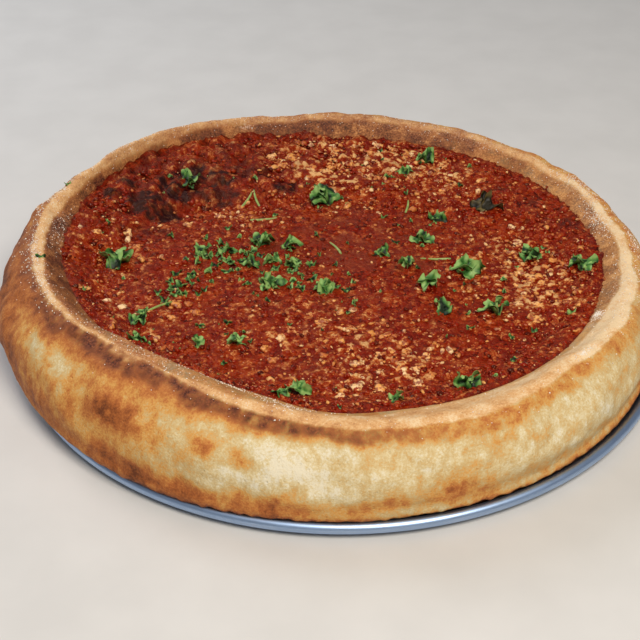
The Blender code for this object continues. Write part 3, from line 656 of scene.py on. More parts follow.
def cheese_material(settings):
    """Grated hard cheese, melted and toasted: waxy crumbs from cream to orange brown."""
    material, tree, shader, place = new_material("toasted grated cheese", {"Roughness": 0.42})
    tone = node(tree, "Attribute", attribute_name="tone").outputs["Fac"]
    mottle, film = (
        node(tree, "TexNoise", {"Vector": place, "Scale": 1 / (size * MM), "Detail": detail})
        for size, detail in ((1.6, 2.0), (2.0, 3.0)))
    level = node(tree, "Math", {0: mottle, 1: 0.6, 2: tone}, operation="MULTIPLY_ADD")
    shade = node(tree, "ValToRGB", {"Fac": level}, ramp=(
        (0.25, settings.cream), (0.55, "#EEA652"), (0.9, settings.toasted)))
    wet = node(tree, "MapRange", {"Value": film, "From Min": 0.48, "From Max": 0.58,
                                  "To Max": 0.85})
    coated = node(tree, "Mix", {0: wet, 6: shade, 7: settings.film}, data_type="RGBA")
    bump = node(tree, "Bump", {"Height": mottle, "Strength": 0.4, "Distance": 0.3 * MM})
    set_inputs(tree, shader, {"Base Color": coated, "Normal": bump})
    return material


def leaf_material(name, dark_tone_and_painted_shade, leaf_colour, light_tone_and_painted_highlight):
    """Chopped parsley, fresh or dried by its colours: satin leaves with painted shade at the heart
    and in the crinkles' hollows, and painted highlight on the tips and the crinkles' crests."""
    material, tree, shader, place = new_material(
        name, {"Roughness": 0.46, "Specular IOR Level": 0.3})
    out, tone = (node(tree, "Attribute", attribute_name=label).outputs["Fac"]
                 for label in ("out", "tone"))
    mottle = node(tree, "TexNoise", {"Vector": place, "Scale": 1 / (2.2 * MM), "Detail": 3.0,
                                     "Roughness": 0.6})
    # Painted shade at the heart and in the hollows, painted highlight at the rim and on the crests,
    # with random tone from leaflet to leaflet
    level = tone
    for value, gain in ((out, 0.55), (mottle, 0.5)):
        level = node(tree, "Math", {0: value, 1: gain, 2: level}, operation="MULTIPLY_ADD")
    shade = node(tree, "ValToRGB", {"Fac": level}, ramp=(
        (0.3, dark_tone_and_painted_shade), (0.56, leaf_colour), (0.9, light_tone_and_painted_highlight)))
    bump = node(tree, "Bump", {"Height": mottle, "Strength": 0.5, "Distance": 0.3 * MM})
    set_inputs(tree, shader, {"Base Color": shade, "Normal": bump})
    return material


def plain_grain_material(name, colour, other, size, roughness):
    """Matt material of two near colours mixed by a fine noise of one size."""
    material, tree, shader, place = new_material(name, {"Roughness": roughness})
    mottle = node(tree, "TexNoise", {"Vector": place, "Scale": 1 / size, "Detail": 3.0})
    shade = node(tree, "ValToRGB", {"Fac": mottle}, ramp=((0.35, colour), (0.65, other)))
    set_inputs(tree, shader, {"Base Color": shade})
    return material


def pan_material(settings):
    """Spun aluminium with a painted blue reflection in its colour and fine turning lines round the
    axis, and baked oil inside the rolled edge that also stands in for a painted reflection of the
    crust."""
    material, tree, shader, place = new_material("spun aluminium", {"Metallic": 1.0})
    parts = node(tree, "SeparateXYZ", {0: place})
    level = node(tree, "CombineXYZ", {0: parts.outputs[0], 1: parts.outputs[1]})
    radius = node(tree, "VectorMath", {0: level}, operation="LENGTH")
    turning = node(tree, "CombineXYZ", {0: radius, 2: parts.outputs[2]})
    # Real turning lines are 0.1 mm apart; they are drawn 0.5 mm apart to show at all
    lines = node(tree, "TexNoise", {"Vector": turning, "Scale": 1 / (0.5 * MM), "Detail": 2.0})
    smear = node(tree, "TexNoise", {"Vector": place, "Scale": 1 / (18.0 * MM), "Detail": 4.0,
                                    "Roughness": 0.6})
    inside, patch, rough = (
        node(tree, "MapRange", {"Value": value, "From Min": low, "From Max": high,
                                "To Min": start, "To Max": end})
        for value, low, high, start, end in (
            (radius, 174.6 * MM, 171.5 * MM, 0.0, 1.0), (smear, 0.35, 0.6, 0.05, 0.5),
            (smear, 0.3, 0.7, 0.36, 0.48)))
    # Stain inside the edge: baked oil and a painted reflection of the crust
    stain = node(tree, "Math", {0: inside, 1: patch}, operation="MULTIPLY")
    # Both metal colours are tinted blue as painted reflection
    colour = settings.metal
    for share, layer in ((smear, "#98B3D8"), (stain, settings.stain)):
        colour = node(tree, "Mix", {0: share, 6: colour, 7: layer}, data_type="RGBA")
    bump = node(tree, "Bump", {"Height": lines, "Strength": 0.12, "Distance": 0.1 * MM})
    set_inputs(tree, shader, {"Base Color": colour, "Roughness": rough, "Normal": bump})
    return material


def crust_sections(azimuth):
    """Section of the crust at each azimuth, as (azimuths, points, radius and height)."""
    lip, edge, bulge, hem, lip_height, edge_height = (
        round_curve(values, azimuth) * MM for values in
        (LIP_RADIUS, SAUCE_RADIUS, BULGE_RADIUS, HEM_RADIUS, LIP_HEIGHT, SAUCE_EDGE_HEIGHT))
    away = (azimuth - BLISTER_AZIMUTH) / BLISTER_WIDTH
    lip = lip + BLISTER_SIZE * np.exp(-away * away)
    section = [(FOOT_RADIUS, PAN_SHEET + REST_GAP), (HEEL_RADIUS, HEEL_HEIGHT),
               (ANKLE_RADIUS, ANKLE_HEIGHT), (OVERHANG_RADIUS, OVERHANG_HEIGHT),
               (hem, HEM_HEIGHT), (0.6 * bulge + 0.4 * hem, LOWER_WALL_HEIGHT)]
    for level in WALL_LEVELS:
        swing = math.cos(level * math.pi / 2) ** WALL_FULLNESS
        section.append((lip + (bulge - lip) * swing,
                        BULGE_HEIGHT + (lip_height - BULGE_HEIGHT) * level))
    section.append((lip, lip_height))
    width, crest = lip - edge, lip_height + CREST_RISE
    for across, down in RIM_TOP:
        section.append((lip - across * width, crest - down * (crest - edge_height)))
    section += [(edge, edge_height), (edge - RECESS_TAPER, RECESS_HEIGHT)]
    return np.stack([np.stack(np.broadcast_arrays(*point, azimuth)[:2], axis=-1)
                     for point in section], axis=1)


def smooth_sections(sections):
    """Each section drawn as a smooth line through its points, and where each sample lies."""
    gaps = np.linalg.norm(np.diff(sections, axis=1), axis=2)[..., None] + 1e-9
    steps = np.diff(sections, axis=1) / gaps
    tangents = np.empty_like(sections)
    tangents[:, 0] = steps[:, 0]
    tangents[:, -1] = steps[:, -1]
    weights = gaps[:, :-1] + gaps[:, 1:]
    tangents[:, 1:-1] = (steps[:, :-1] * gaps[:, 1:] + steps[:, 1:] * gaps[:, :-1]) / weights
    line, along = [], []
    for k, count in enumerate(CRUST_RINGS):
        last = k == len(CRUST_RINGS) - 1
        for t in np.linspace(0.0, 1.0, count + 1)[:None if last else -1]:
            start, end, gap = sections[:, k], sections[:, k + 1], gaps[:, k]
            line.append(start * (2 * t ** 3 - 3 * t ** 2 + 1) + end * (3 * t ** 2 - 2 * t ** 3)
                        + gap * (tangents[:, k] * (t ** 3 - 2 * t ** 2 + t)
                                 + tangents[:, k + 1] * (t ** 3 - t ** 2)))
            along.append(k + t)
    return np.stack(line, axis=0), np.array(along)


def crust_grid():
    """Fine grid of the crust: points, azimuths, place along the section and share across."""
    azimuth = np.arange(CRUST_AZIMUTHS) * 360.0 / CRUST_AZIMUTHS
    line, along = smooth_sections(crust_sections(azimuth))
    radius, height = line[..., 0], line[..., 1]
    turn = np.radians(azimuth)[None, :]
    lip = round_curve(LIP_RADIUS, azimuth) * MM
    edge = round_curve(SAUCE_RADIUS, azimuth) * MM
    across = (lip - radius) / (lip - edge)

    def placed(reach, level):
        middle = PIZZA_X * smooth_step(OVERHANG_HEIGHT, LEAN_HEIGHT, level)
        return np.stack((middle + reach * np.cos(turn), reach * np.sin(turn), level), axis=-1)

    points = placed(radius, height)
    wall = smooth_step(15.0 * MM, 24.0 * MM, height)
    clear = smooth_step(1.0 * MM, 6.0 * MM, radius - edge)
    dents = [noise.noise(Vector(p) / CRUST_RELIEF_SIZE) for p in points.reshape(-1, 3)]
    shift = CRUST_RELIEF * wall * clear * np.array(dents).reshape(radius.shape) * 2.0
    return placed(radius + shift, height + 0.4 * shift), azimuth, along, across


def grid_normals(points):
    """Outward normals of a grid of rings."""
    up = np.gradient(points, axis=0)
    around = (np.roll(points, -1, axis=1) - np.roll(points, 1, axis=1)) / 2
    normal = np.cross(around, up)
    return normal / (np.linalg.norm(normal, axis=-1, keepdims=True) + 1e-12)


def crust_shares(points, azimuth, along, across):
    """Bake with its painted shade, char, sand, crest and flour at each point of the crust."""
    def row(values):
        return round_curve(values, azimuth)[None, :]

    def blob(place, spread, shift, gain):
        off = (np.mod(azimuth[None, :] - place + 180.0, 360.0) - 180.0) / spread
        return np.exp(-(off * off + shift * shift) * gain)

    height = points[..., 2] / MM
    outside = along[:, None] <= LIP_POINT
    width = row(LIP_RADIUS) - row(SAUCE_RADIUS)
    depth = np.where(outside, np.maximum(row(LIP_HEIGHT) - height, 0.0), -across * width)
    wobble = noise_at(points, WOBBLE_SIZE, 5.0)
    ripple = noise_at(points, RIPPLE_SIZE, 9.0)
    middle, under = row(MIDDLE_BAKE_AND_SHADE), row(BAND_DEPTH)
    lower = smooth_step(0.4 * under, under + 3.0, depth + wobble)
    bake_and_painted_shade = middle + (row(TOP_BAKE_AND_SHADE) - middle) * (1.0 - lower)
    bake_and_painted_shade += (row(LOW_BAKE) - bake_and_painted_shade) * (1.0 - smooth_step(16.0, 28.0, height + 3.0 * wobble))
    for place, level, half, tall, strength in WALL_PATCHES:
        patch = blob(place, half, (height - level) / tall, 0.7)
        bake_and_painted_shade += strength * patch * (0.85 + 0.4 * ripple)
    bake_and_painted_shade += 0.3 * (1.0 - smooth_step(10.5, 13.0, height + 0.8 * ripple))
    reach = row(LIP_RADIUS) + depth + 0.6 * wobble + 0.4 * ripple
    start, end = row(CREST_OUTER), row(CREST_INNER)
    inner = 1.0 - smooth_step(end - 1.3, end + 1.3, reach)
    crest = (1.0 - inner) * (1.0 - smooth_step(start - 0.9, start + 0.9, reach))
    mottle = 0.07 * wobble + 0.05 * ripple
    for values, zone in ((CREST_BAKE_AND_SHADE, crest), (INNER_BAKE, inner)):
        bake_and_painted_shade = bake_and_painted_shade * (1.0 - zone) + (row(values) + mottle) * zone
    band = smooth_step(-3.2, -1.2, depth) * (1.0 - smooth_step(2.2, 5.0, depth + 1.6 * wobble))
    char = row(CHAR_BAND) * band * (1.0 - crest) * (0.85 + 0.35 * ripple)
    hem = 1.0 - smooth_step(9.6, 11.2, height + 0.5 * ripple)
    char = np.where(outside, np.maximum(char, 0.45 * hem), char)
    toasted = smooth_step(-0.15, 0.45, noise_at(points, TOASTED_SIZE, 33.0) + 0.3 * ripple)
    toasted = row(INNER_CHAR) * toasted * inner
    flour = np.zeros_like(bake_and_painted_shade)
    for place, share, spread, wide, grains in FLOUR_PATCHES[:-1]:
        flour += min(1.0, grains / 250.0) * blob(place, spread, (across - share) / wide, 1.2)
    flour = 0.22 * np.clip(flour, 0.0, 1.0)
    for place, share, spread, wide, strength in FLOUR_HEAPS:
        flour += strength * blob(place, spread, (across - share) / wide, 1.0 + 0.5 * ripple)
    shares = {"bake_and_painted_shade": bake_and_painted_shade + 0.25 * toasted, "char": np.maximum(char, toasted), "crest": crest,
              "sand": np.where(outside, 0.0, row(INNER_SAND) * inner),
              "flour": np.where(height > 40.0, flour, 0.0)}
    return {label: np.clip(values, 0.0, 1.0) for label, values in shares.items()}


def build_crust(settings):
    """Fine crust in place of the solid one, with its grain, groove and ragged hem."""
    points, azimuth, along, across = crust_grid()
    shares = crust_shares(points, azimuth, along, across)
    wall = smooth_step(11.0, 15.0, points[..., 2] / MM)
    relief = WALL_LUMP * wall * noise_at(points, WALL_LUMP_SIZE, 2.0)
    relief += settings.grain_height * wall * noise_at(points, GRAIN_SIZE, 7.0)
    relief -= RIDGE_GROOVE * shares["char"] * (along[:, None] < LIP_POINT + 1.5) * wall
    inside = smooth_step(0.9, 1.0, across) * (along[:, None] > LIP_POINT)
    points = points + grid_normals(points) * (relief * (1.0 - inside))[..., None]
    ragged = np.exp(-((along[:, None] - HEM_POINT) / 0.5) ** 2)
    points[..., 2] += ragged * (HEM_RAG * noise_at(points, HEM_RAG_SIZE, 12.0) - HEM_DROP)
    flat = points.reshape(-1, 3)
    count = len(flat)
    middles = ((0.0, 0.0, PAN_SHEET + REST_GAP), (PIZZA_X, 0.0, RECESS_HEIGHT))
    around = np.arange(CRUST_AZIMUTHS)
    faces = [*ring_faces(len(points), CRUST_AZIMUTHS), *fan(count, around[::-1]),
             *fan(count + 1, around + count - CRUST_AZIMUTHS)]
    attributes = {label: np.append(values, (0.5, 0.5)) for label, values in shares.items()}
    add_piece("crust_baked", np.vstack((flat, middles)), faces, crust_material(settings),
              attributes, ("crust",))


def rim_place(points, along, azimuth, share, rng):
    """Point of the fine crust near an azimuth and a share across the rim."""
    column = int(round((azimuth % 360.0) / 360.0 * CRUST_AZIMUTHS)) % CRUST_AZIMUTHS
    level = LIP_POINT + 5.0 * share if share > 0 else LIP_POINT + 6.0 * share
    row = int(np.argmin(np.abs(along - level)))
    row = min(max(row, 1), len(along) - 2)
    column_next = (column + 1) % CRUST_AZIMUTHS
    u, v = rng.random(), rng.random()
    lower = points[row, column] * (1 - u) + points[row, column_next] * u
    upper = points[row + 1, column] * (1 - u) + points[row + 1, column_next] * u
    return lower * (1 - v) + upper * v


def pebble(subdivisions):
    """Points and faces of a ball of radius 1."""
    work = bmesh.new()
    bmesh.ops.create_icosphere(work, subdivisions=subdivisions, radius=1.0)
    points = np.array([vert.co for vert in work.verts])
    faces = np.array([[vert.index for vert in face.verts] for face in work.faces])
    work.free()
    return points, faces


def gather(parts):
    """Points, faces and attributes of many small meshes as one."""
    points, faces, labels, start = [], [], {}, 0
    for part_points, part_faces, part_labels in parts:
        points.append(part_points)
        faces += [[start + k for k in face] for face in part_faces]
        for label, values in part_labels.items():
            labels.setdefault(label, []).append(np.broadcast_to(values, len(part_points)))
        start += len(part_points)
    return np.vstack(points), faces, {k: np.concatenate(v) for k, v in labels.items()}


def add_gathered(name, parts, material):
    """One piece made of many small meshes."""
    points, faces, labels = gather(parts)
    add_piece(name, points, faces, material, labels)


def dust_flour():
    """Grains of flour lying on the rim."""
    points, _, along, _ = crust_grid()
    rng = random.Random(FLOUR_SEED)
    ball, ball_faces = pebble(1)
    parts = []
    for place, share, spread, wide, grains in FLOUR_PATCHES:
        for _ in range(grains):
            where = rng.gauss(place, spread * 0.6)
            over = rng.gauss(share, wide * 0.6)
            if not -0.45 < over < 0.93:
                continue
            centre = rim_place(points, along, where, over, rng)
            size = rng.uniform(GRAIN_SMALLEST, GRAIN_LARGEST)
            size *= 1.3 if rng.random() < 0.08 else 1.0
            shape = np.array([rng.uniform(0.7, 1.3) for _ in range(3)])
            parts.append((ball * shape * size + centre, ball_faces, {}))
    white = plain_grain_material("dusted wheat flour", "#F6EFE4", "#E4D3BC", 0.9 * MM, 0.9)
    add_gathered("flour_grains", parts, white)


def hexagon_disc(rings):
    """Triangles in a hexagon of rings, pushed out to a disc of radius 1."""
    corner = np.radians(90.0 + 60.0 * np.arange(6))
    along_x, along_y = np.cos(corner), np.sin(corner)
    places = [(0.0, 0.0)]
    starts = [0]
    for ring in range(1, rings + 1):
        starts.append(len(places))
        for side in range(6):
            following = (side + 1) % 6
            for step in range(ring):
                part = step / ring
                x = along_x[side] * (1 - part) + along_x[following] * part
                y = along_y[side] * (1 - part) + along_y[following] * part
                stretch = (ring / rings) / math.hypot(x, y)
                places.append((x * stretch, y * stretch))
    faces = []
    for ring in range(1, rings + 1):
        inner_count = max(6 * (ring - 1), 1)
        for side in range(6):
            for step in range(ring):
                outer = starts[ring] + side * ring + step
                outer_next = starts[ring] + (side * ring + step + 1) % (6 * ring)
                inner = starts[ring - 1] + (side * (ring - 1) + step) % inner_count
                faces.append((inner, outer, outer_next))
                if step < ring - 1:
                    inner_next = starts[ring - 1] + (side * (ring - 1) + step + 1) % inner_count
                    faces.append((inner, outer_next, inner_next))
    return np.array(places), faces, starts[-1]


def build_sauce(settings):
    """Fine sauce in place of the solid layer, creeping a little up the crust."""
    places, faces, rim_start = hexagon_disc(SAUCE_FINE_RINGS)
    azimuth = np.degrees(np.arctan2(places[:, 1], places[:, 0]))
    outline = (round_curve(SAUCE_RADIUS, azimuth) + round_curve(SAUCE_CREEP, azimuth)) * MM
    x = PIZZA_X + places[:, 0] * outline
    y = places[:, 1] * outline
    flat = np.stack((x, y, np.zeros_like(x)), axis=-1)
    pulp = 0.6 * noise_at(flat, PULP_SIZE, 4.0) + 0.55 * noise_at(flat, PULP_FINE_SIZE, 8.0)
    reach = pool_reach(x, y)
    middle = np.hypot((x / MM - POOL_MIDDLE[0]) / POOL_HALF_WIDTHS[0],
                      (y / MM - POOL_MIDDLE[1]) / POOL_HALF_WIDTHS[1])
    pool = 1.0 - smooth_step(0.55, 1.15, middle + 0.25 * noise_at(flat, POOL_EDGE_SIZE, 6.0))
    rough = 0.55 + 0.45 * smooth_step(-0.5, 0.1, reach) - 0.3 * pool
    beyond = smooth_step(0.97, 1.04, reach)
    bank = smooth_step(0.0, 0.4, reach) * smooth_step(0.2, 0.9, np.sin(np.radians(azimuth - 35)))
    chunk = bank * noise_at(flat, CHUNK_SIZE, 14.0)
    z = sauce_top(x, y) + settings.pulp_height * rough * pulp * (1.0 + 0.6 * beyond)
    # Dark where the sauce caught and as painted shadow of the bank's hollows, and darker towards
    # its edge at the crust
    burnt = caught_and_shadow_share(x, y, noise_at(flat, CAUGHT_AND_SHADOW_RAG_SIZE, 1.0))
    burnt = np.maximum(burnt, 0.35 * smooth_step(0.93, 1.0, np.minimum(reach, 1.0)))
    melt = np.zeros_like(x)
    for patch_x, patch_y, wide, count in CRUMB_PATCHES + MELT_PATCHES:
        away = np.hypot(x / MM - patch_x, y / MM - patch_y) / wide
        melt += (0.1 + 0.085 * count) * np.exp(-away * away)
    melt = np.minimum(melt, 1.15)
    clot = 0.65 * noise_at(flat, CLOT_SIZE, 21.0) + 0.45 * noise_at(flat, 0.5 * CLOT_SIZE, 25.0)
    lump = CLOT_HEIGHT * (0.3 + melt) * smooth_step(0.0, 0.6, clot)
    z = z + (CHUNK_HEIGHT * chunk + lump) * (1.0 - beyond)
    pool = pool * smooth_step(-0.5, 0.4, noise_at(flat, POOL_PATCH_SIZE, 17.0))
    top = np.stack((x, y, z), axis=-1)
    rim = np.arange(rim_start, len(top))
    below = np.arange(len(top), len(top) + len(rim))
    faces = [*faces, *zip(rim, below, np.roll(below, -1), np.roll(rim, -1))]
    # The bank's chunks go into the pulp share as painted light: painted shade in their lows and
    # lighter colour on their tops
    shares = {"pulp": pulp + 1.3 * chunk, "pool": pool, "burnt": burnt, "melt": melt,
              "clot": clot}
    attributes = {label: np.append(values, values[rim]) for label, values in shares.items()}
    add_piece("tomato_sauce", np.vstack((top, top[rim] - (0.0, 0.0, SKIRT_DEPTH))), faces,
              sauce_material(settings), attributes, ("sauce",))


def scatter_pulp(settings):
    """Bits of crushed tomato that stand out of the sauce, thickest on its banks."""
    rng = random.Random(PULP_SEED)
    ball = pebble(1)
    places = []
    while len(places) < settings.bits:
        x, y = beside(PIZZA_X, 0.0, SCATTER_RADIUS * math.sqrt(rng.random()),
                      rng.uniform(0.0, math.tau))
        reach = float(pool_reach(x, y))
        kept = 0.4 + 0.6 * smooth_step(-0.5, 0.3, reach) - 1.1 * float(caught_and_shadow_share(x, y))
        if reach < 0.95 and rng.random() < kept:
            places.append((x, y))
    x, y = np.array(places).T
    parts = []
    for centre in zip(x, y, sauce_top(x, y)):
        size = 0.55 * MM + 1.35 * MM * rng.random() ** 3
        stretch = (rng.uniform(0.9, 1.5), rng.uniform(0.7, 1.1), rng.uniform(0.6, 0.9))
        lumps = np.array([rng.uniform(-0.7, 0.7) for _ in ball[0]])
        tone = rng.uniform(0.05, 0.72) - (0.12 if size > 1.0 * MM else 0.0)
        parts.append(crumb(ball, lumps, size, stretch, rng.uniform(0, math.pi), centre, tone))
    add_gathered("tomato_bits", parts, pulp_material(settings))


def clear_of_leaves(x, y, reach):
    """Whether a place is clear of every loose leaf."""
    return all(math.hypot(x - place[0] * MM, y - place[1] * MM) >= 0.5 * place[2] * MM + reach
               for place in LEAF_PLACES + (DRIED_LEAF_PLACE,))


def crumb(ball, lumps, size, stretch, turn, centre, tone):
    """Irregular crumb from a ball: lumpy, stretched, turned and set in place."""
    points, faces = ball
    shaped = points * (1.0 + 0.36 * lumps)[:, None] * np.array(stretch) * size
    return turned(shaped, turn) + np.array(centre), faces, {"tone": tone}


def solid_bits():
    """The crumbs and flecks that the solid sauce carries, drawn in the same order."""
    draw = random.Random(SOLID_SEED)
    crumbs, flecks = [], []
    for patch_x, patch_y, patch_radius, count in CRUMB_PATCHES:
        placed = 0
        for _ in range(count * CRUMB_TRIES):
            if placed == count:
                break
            turn = draw.uniform(0.0, math.tau)
            away = patch_radius * MM * math.sqrt(draw.random())
            size = draw.uniform(CRUMB_SMALLEST, CRUMB_LARGEST)
            x, y = beside(patch_x * MM, patch_y * MM, away, turn)
            near = any(math.hypot(x - c[0], y - c[1]) < (size + c[2]) * CRUMB_ROOM for c in crumbs)
            reach = size * CRUMB_ROOM + FLECK_CLEARANCE
            if near or pool_reach(x, y) >= BITS_REACH or not clear_of_leaves(x, y, reach):
                continue
            stretch = (draw.uniform(0.8, 1.3), draw.uniform(0.8, 1.2), draw.uniform(0.6, 0.8))
            crumbs.append((x, y, size, stretch, draw.uniform(0.0, math.pi)))
            placed += 1
    taken = [crumb_drawn[:3] for crumb_drawn in crumbs]
    for x_mm, y_mm in FLECK_PLACES:
        x, y = x_mm * MM, y_mm * MM
        size, turn = draw.uniform(0.75, 1.1), draw.uniform(0.0, math.pi)
        reach = 0.5 * FLECK_LENGTH * size
        near = any(math.hypot(x - a, y - b) < reach + c * CRUMB_ROOM for a, b, c in taken)
        clear = clear_of_leaves(x, y, reach + FLECK_CLEARANCE)
        if near or pool_reach(x, y) >= BITS_REACH or not clear:
            continue
        flecks.append((x, y, size, turn))
        taken.append((x, y, reach))
    return crumbs, flecks


def scatter_cheese(settings):
    """The solid sauce's crumbs of cheese in fine form, and many small ones round them."""
    rng = random.Random(CHEESE_SEED)
    small, middling, large = (pebble(subdivisions) for subdivisions in (1, 2, 3))
    parts = []
    for number, (x, y, size, stretch, turn) in enumerate(solid_bits()[0]):
        tone = rng.uniform(0.0, 0.5)
        for share, away in CRUMB_LOBES:
            lumps = noise_at(large[0] * 2.2 * MM + number * 0.01 + share, 1.5 * MM, number)
            place = beside(x, y, away * size, rng.uniform(0.0, math.tau))
            parts.append(crumb(large, 1.3 * lumps, share * size, stretch, turn,
                               (*place, float(sauce_top(*place))), tone))
    for patch_x, patch_y, patch_radius, count in CRUMB_PATCHES + MELT_PATCHES:
        for _ in range(LUMPS_A_CRUMB * count):
            x, y = beside(patch_x * MM, patch_y * MM, 1.9 * patch_radius * MM * rng.random() ** 0.7,
                          rng.uniform(0.0, math.tau))
            if pool_reach(x, y) > 0.95 or rng.random() < 1.3 * caught_and_shadow_share(x, y):
                continue
            size = (0.8 + 1.3 * rng.random() ** 1.6) * MM
            stretch = (rng.uniform(0.9, 1.6), rng.uniform(0.7, 1.1), rng.uniform(0.5, 0.75))
            lumps = noise_at(middling[0] * 2.0 * MM + rng.random(), 1.6 * MM, 3.0)
            centre = (x, y, float(sauce_top(x, y)) + 0.2 * size)
            parts.append(crumb(middling, lumps, size, stretch, rng.uniform(0, math.pi), centre,
                               rng.uniform(-0.1, 0.75)))
    total = sum(patch[3] for patch in CRUMB_PATCHES)
    for _ in range(settings.crumbs):
        if rng.random() < 0.62:
            pick = rng.uniform(0, total)
            for patch in CRUMB_PATCHES:
                pick -= patch[3]
                if pick <= 0:
                    break
            x, y = beside(patch[0] * MM, patch[1] * MM, patch[2] * MM * 2.0 * rng.random() ** 0.7,
                          rng.uniform(0.0, math.tau))
        else:
            x, y = beside(PIZZA_X, 0.0, SCATTER_RADIUS * math.sqrt(rng.random()),
                          rng.uniform(0.0, math.tau))
        if pool_reach(x, y) > 0.97 or rng.random() < 1.3 * caught_and_shadow_share(x, y):
            continue
        size = 0.36 * MM + 0.9 * MM * rng.random() ** 3.2
        stretch = (rng.uniform(0.9, 1.9), rng.uniform(0.7, 1.1), rng.uniform(0.45, 0.7))
        centre = (x, y, float(sauce_top(x, y)) + 0.15 * size)
        lumps = np.array([rng.uniform(-1, 1) for _ in small[0]])
        parts.append(crumb(small, lumps, size, stretch, rng.uniform(0, math.pi), centre,
                           rng.uniform(0.0, 0.75)))
    add_gathered("cheese_crumbs", parts, cheese_material(settings))


def leaflet_outline(turn, rng):
    """Share of half the width that a leaflet reaches at each turn: broad toothed lobes, and a
    straight side where the knife went through."""
    count = rng.choice((3, 3, 4, 5))
    start = rng.uniform(0.0, math.tau)
    reach = np.full_like(turn, 0.58)
    for k in range(count):
        middle = start + math.tau * (k + rng.uniform(-0.2, 0.2)) / count
        off = np.mod(turn - middle + math.pi, math.tau) - math.pi
        width = rng.uniform(0.5, 0.75)
        lobe = rng.uniform(0.82, 1.0) * np.exp(-np.abs(off / width) ** 3.0)
        reach = np.maximum(reach, lobe)
    saw = np.mod(turn * rng.choice((9, 11, 13)) / (math.tau) + start, 1.0)
    reach = reach * (0.86 + 0.14 * np.abs(2.0 * saw - 1.0) ** 0.8)
    cut = rng.uniform(0.0, math.tau)
    facing = np.maximum(np.cos(turn - cut), 0.05)
    return np.minimum(reach, rng.uniform(0.5, 0.9) / facing)


def leaflet_form(half, rng, thickness, points_around=64, rings=8):
    """Thin closed leaflet about the origin: folded along its lobes, curled and crinkled."""
    turn = math.tau * np.arange(points_around) / points_around - math.pi
    share = np.linspace(0.0, 1.0, rings + 1)[1:] ** 0.9
    outline = leaflet_outline(turn, rng)
    shares, turns = np.meshgrid(share, turn, indexing="ij")
    blend = smooth_step(0.2, 1.0, shares)
    radius = half * shares * ((1.0 - blend) * 0.55 + blend * outline)
    x, y = radius * np.cos(turns), radius * np.sin(turns)
    seed = rng.uniform(0.0, 50.0)
    flat = np.stack((x, y, np.zeros_like(x)), axis=-1)
    curl = 0.42 * half * shares ** 2 * np.sin(2.0 * turns + seed)
    fold = 0.30 * half * shares * (outline - 0.7)
    crinkle = 0.26 * half * shares * noise_at(flat, 0.4 * half, seed)
    thin = thickness * (1.0 - 0.45 * shares ** 3) / 2
    upper, lower = (np.stack((x, y, curl - fold + crinkle + side * thin), axis=-1).reshape(-1, 3)
                    for side in (1, -1))
    middles = ((0.0, 0.0, thickness / 2), (0.0, 0.0, -thickness / 2))
    count = len(upper)
    grid = ring_faces(rings, points_around)
    around = np.arange(points_around)
    rim = around + count - points_around
    after = np.roll(rim, -1)
    faces = [*grid, *(grid[:, ::-1] + count), *fan(2 * count, around),
             *fan(2 * count + 1, count + around[::-1]),
             *zip(rim, rim + count, after + count, after)]
    # The outward share and the crinkles' height are painted light: dark at the heart and in the
    # hollows, light at the rim and on the crests
    labels = {"out": shares.ravel(), "tone": CRINKLE_PAINTED_LIGHT * crinkle.ravel() / half}
    return (np.vstack((upper, lower, middles)), faces,
            {label: np.concatenate((values, values, (0.0, 0.0)))
             for label, values in labels.items()})


def leaf_form(half, lobes, rng, thickness):
    """Chopped leaf: a few leaflets that overlap about the middle of its solid's outline."""
    sizes = {5: (0.95, 0.84, 0.7), 3: (1.1, 0.85), 1: (1.2, 0.9)}[lobes]
    start = rng.uniform(0.0, math.tau)
    parts = []
    for k, size in enumerate(sizes):
        points, faces, labels = leaflet_form(half * size, rng, thickness)
        tilt = 0.5 if lobes > 1 else 0.8
        points = turned(points, rng.uniform(0.0, math.tau), rng.uniform(-tilt, tilt),
                        rng.uniform(-tilt, tilt))
        away = half * max(1.1 - size, 0.25) * rng.uniform(0.9, 1.2)
        heading = start + math.tau * (k + rng.uniform(-0.15, 0.15)) / len(sizes)
        points = points + np.array((away * math.cos(heading), away * math.sin(heading),
                                    (0.45 * k - 0.2) * MM))
        labels["tone"] = labels["tone"] + rng.uniform(-0.2, 0.15)
        points[:, 1] *= rng.uniform(0.75, 1.1)
        parts.append((points, faces, labels))
    return gather(parts)


def plane_of(name):
    """Plane through a leaf's solid, as height at the middle and slopes along X and Y."""
    points = np.array([vert.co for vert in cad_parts[name].data.vertices])
    middle = points.mean(axis=0)
    flat = np.column_stack((points[:, :2] - middle[:2], np.ones(len(points))))
    slope_x, slope_y, height = np.linalg.lstsq(flat, points[:, 2], rcond=None)[0]
    return middle, slope_x, slope_y, height


def lay_leaf(name, solid, place, material, thickness, seed):
    """One fine leaf where its solid lies, on the slope of the sauce there."""
    x, y, span, turn, lobes = place
    rng = random.Random(seed)
    points, faces, labels = leaf_form(0.56 * span * MM, lobes, rng, thickness)
    points = turned(points, math.radians(turn)) + np.array((x * MM, y * MM, 0.0))
    middle, slope_x, slope_y, height = plane_of(solid)
    points[:, 2] += height + slope_x * (points[:, 0] - middle[0])
    points[:, 2] += slope_y * (points[:, 1] - middle[1])
    ground = sauce_top(points[:, 0], points[:, 1]) + 0.15 * MM
    points[:, 2] = np.where(points[:, 2] < ground, ground + 0.3 * (points[:, 2] - ground),
                            points[:, 2])
    add_piece(name, points, faces, material, labels, (solid,))


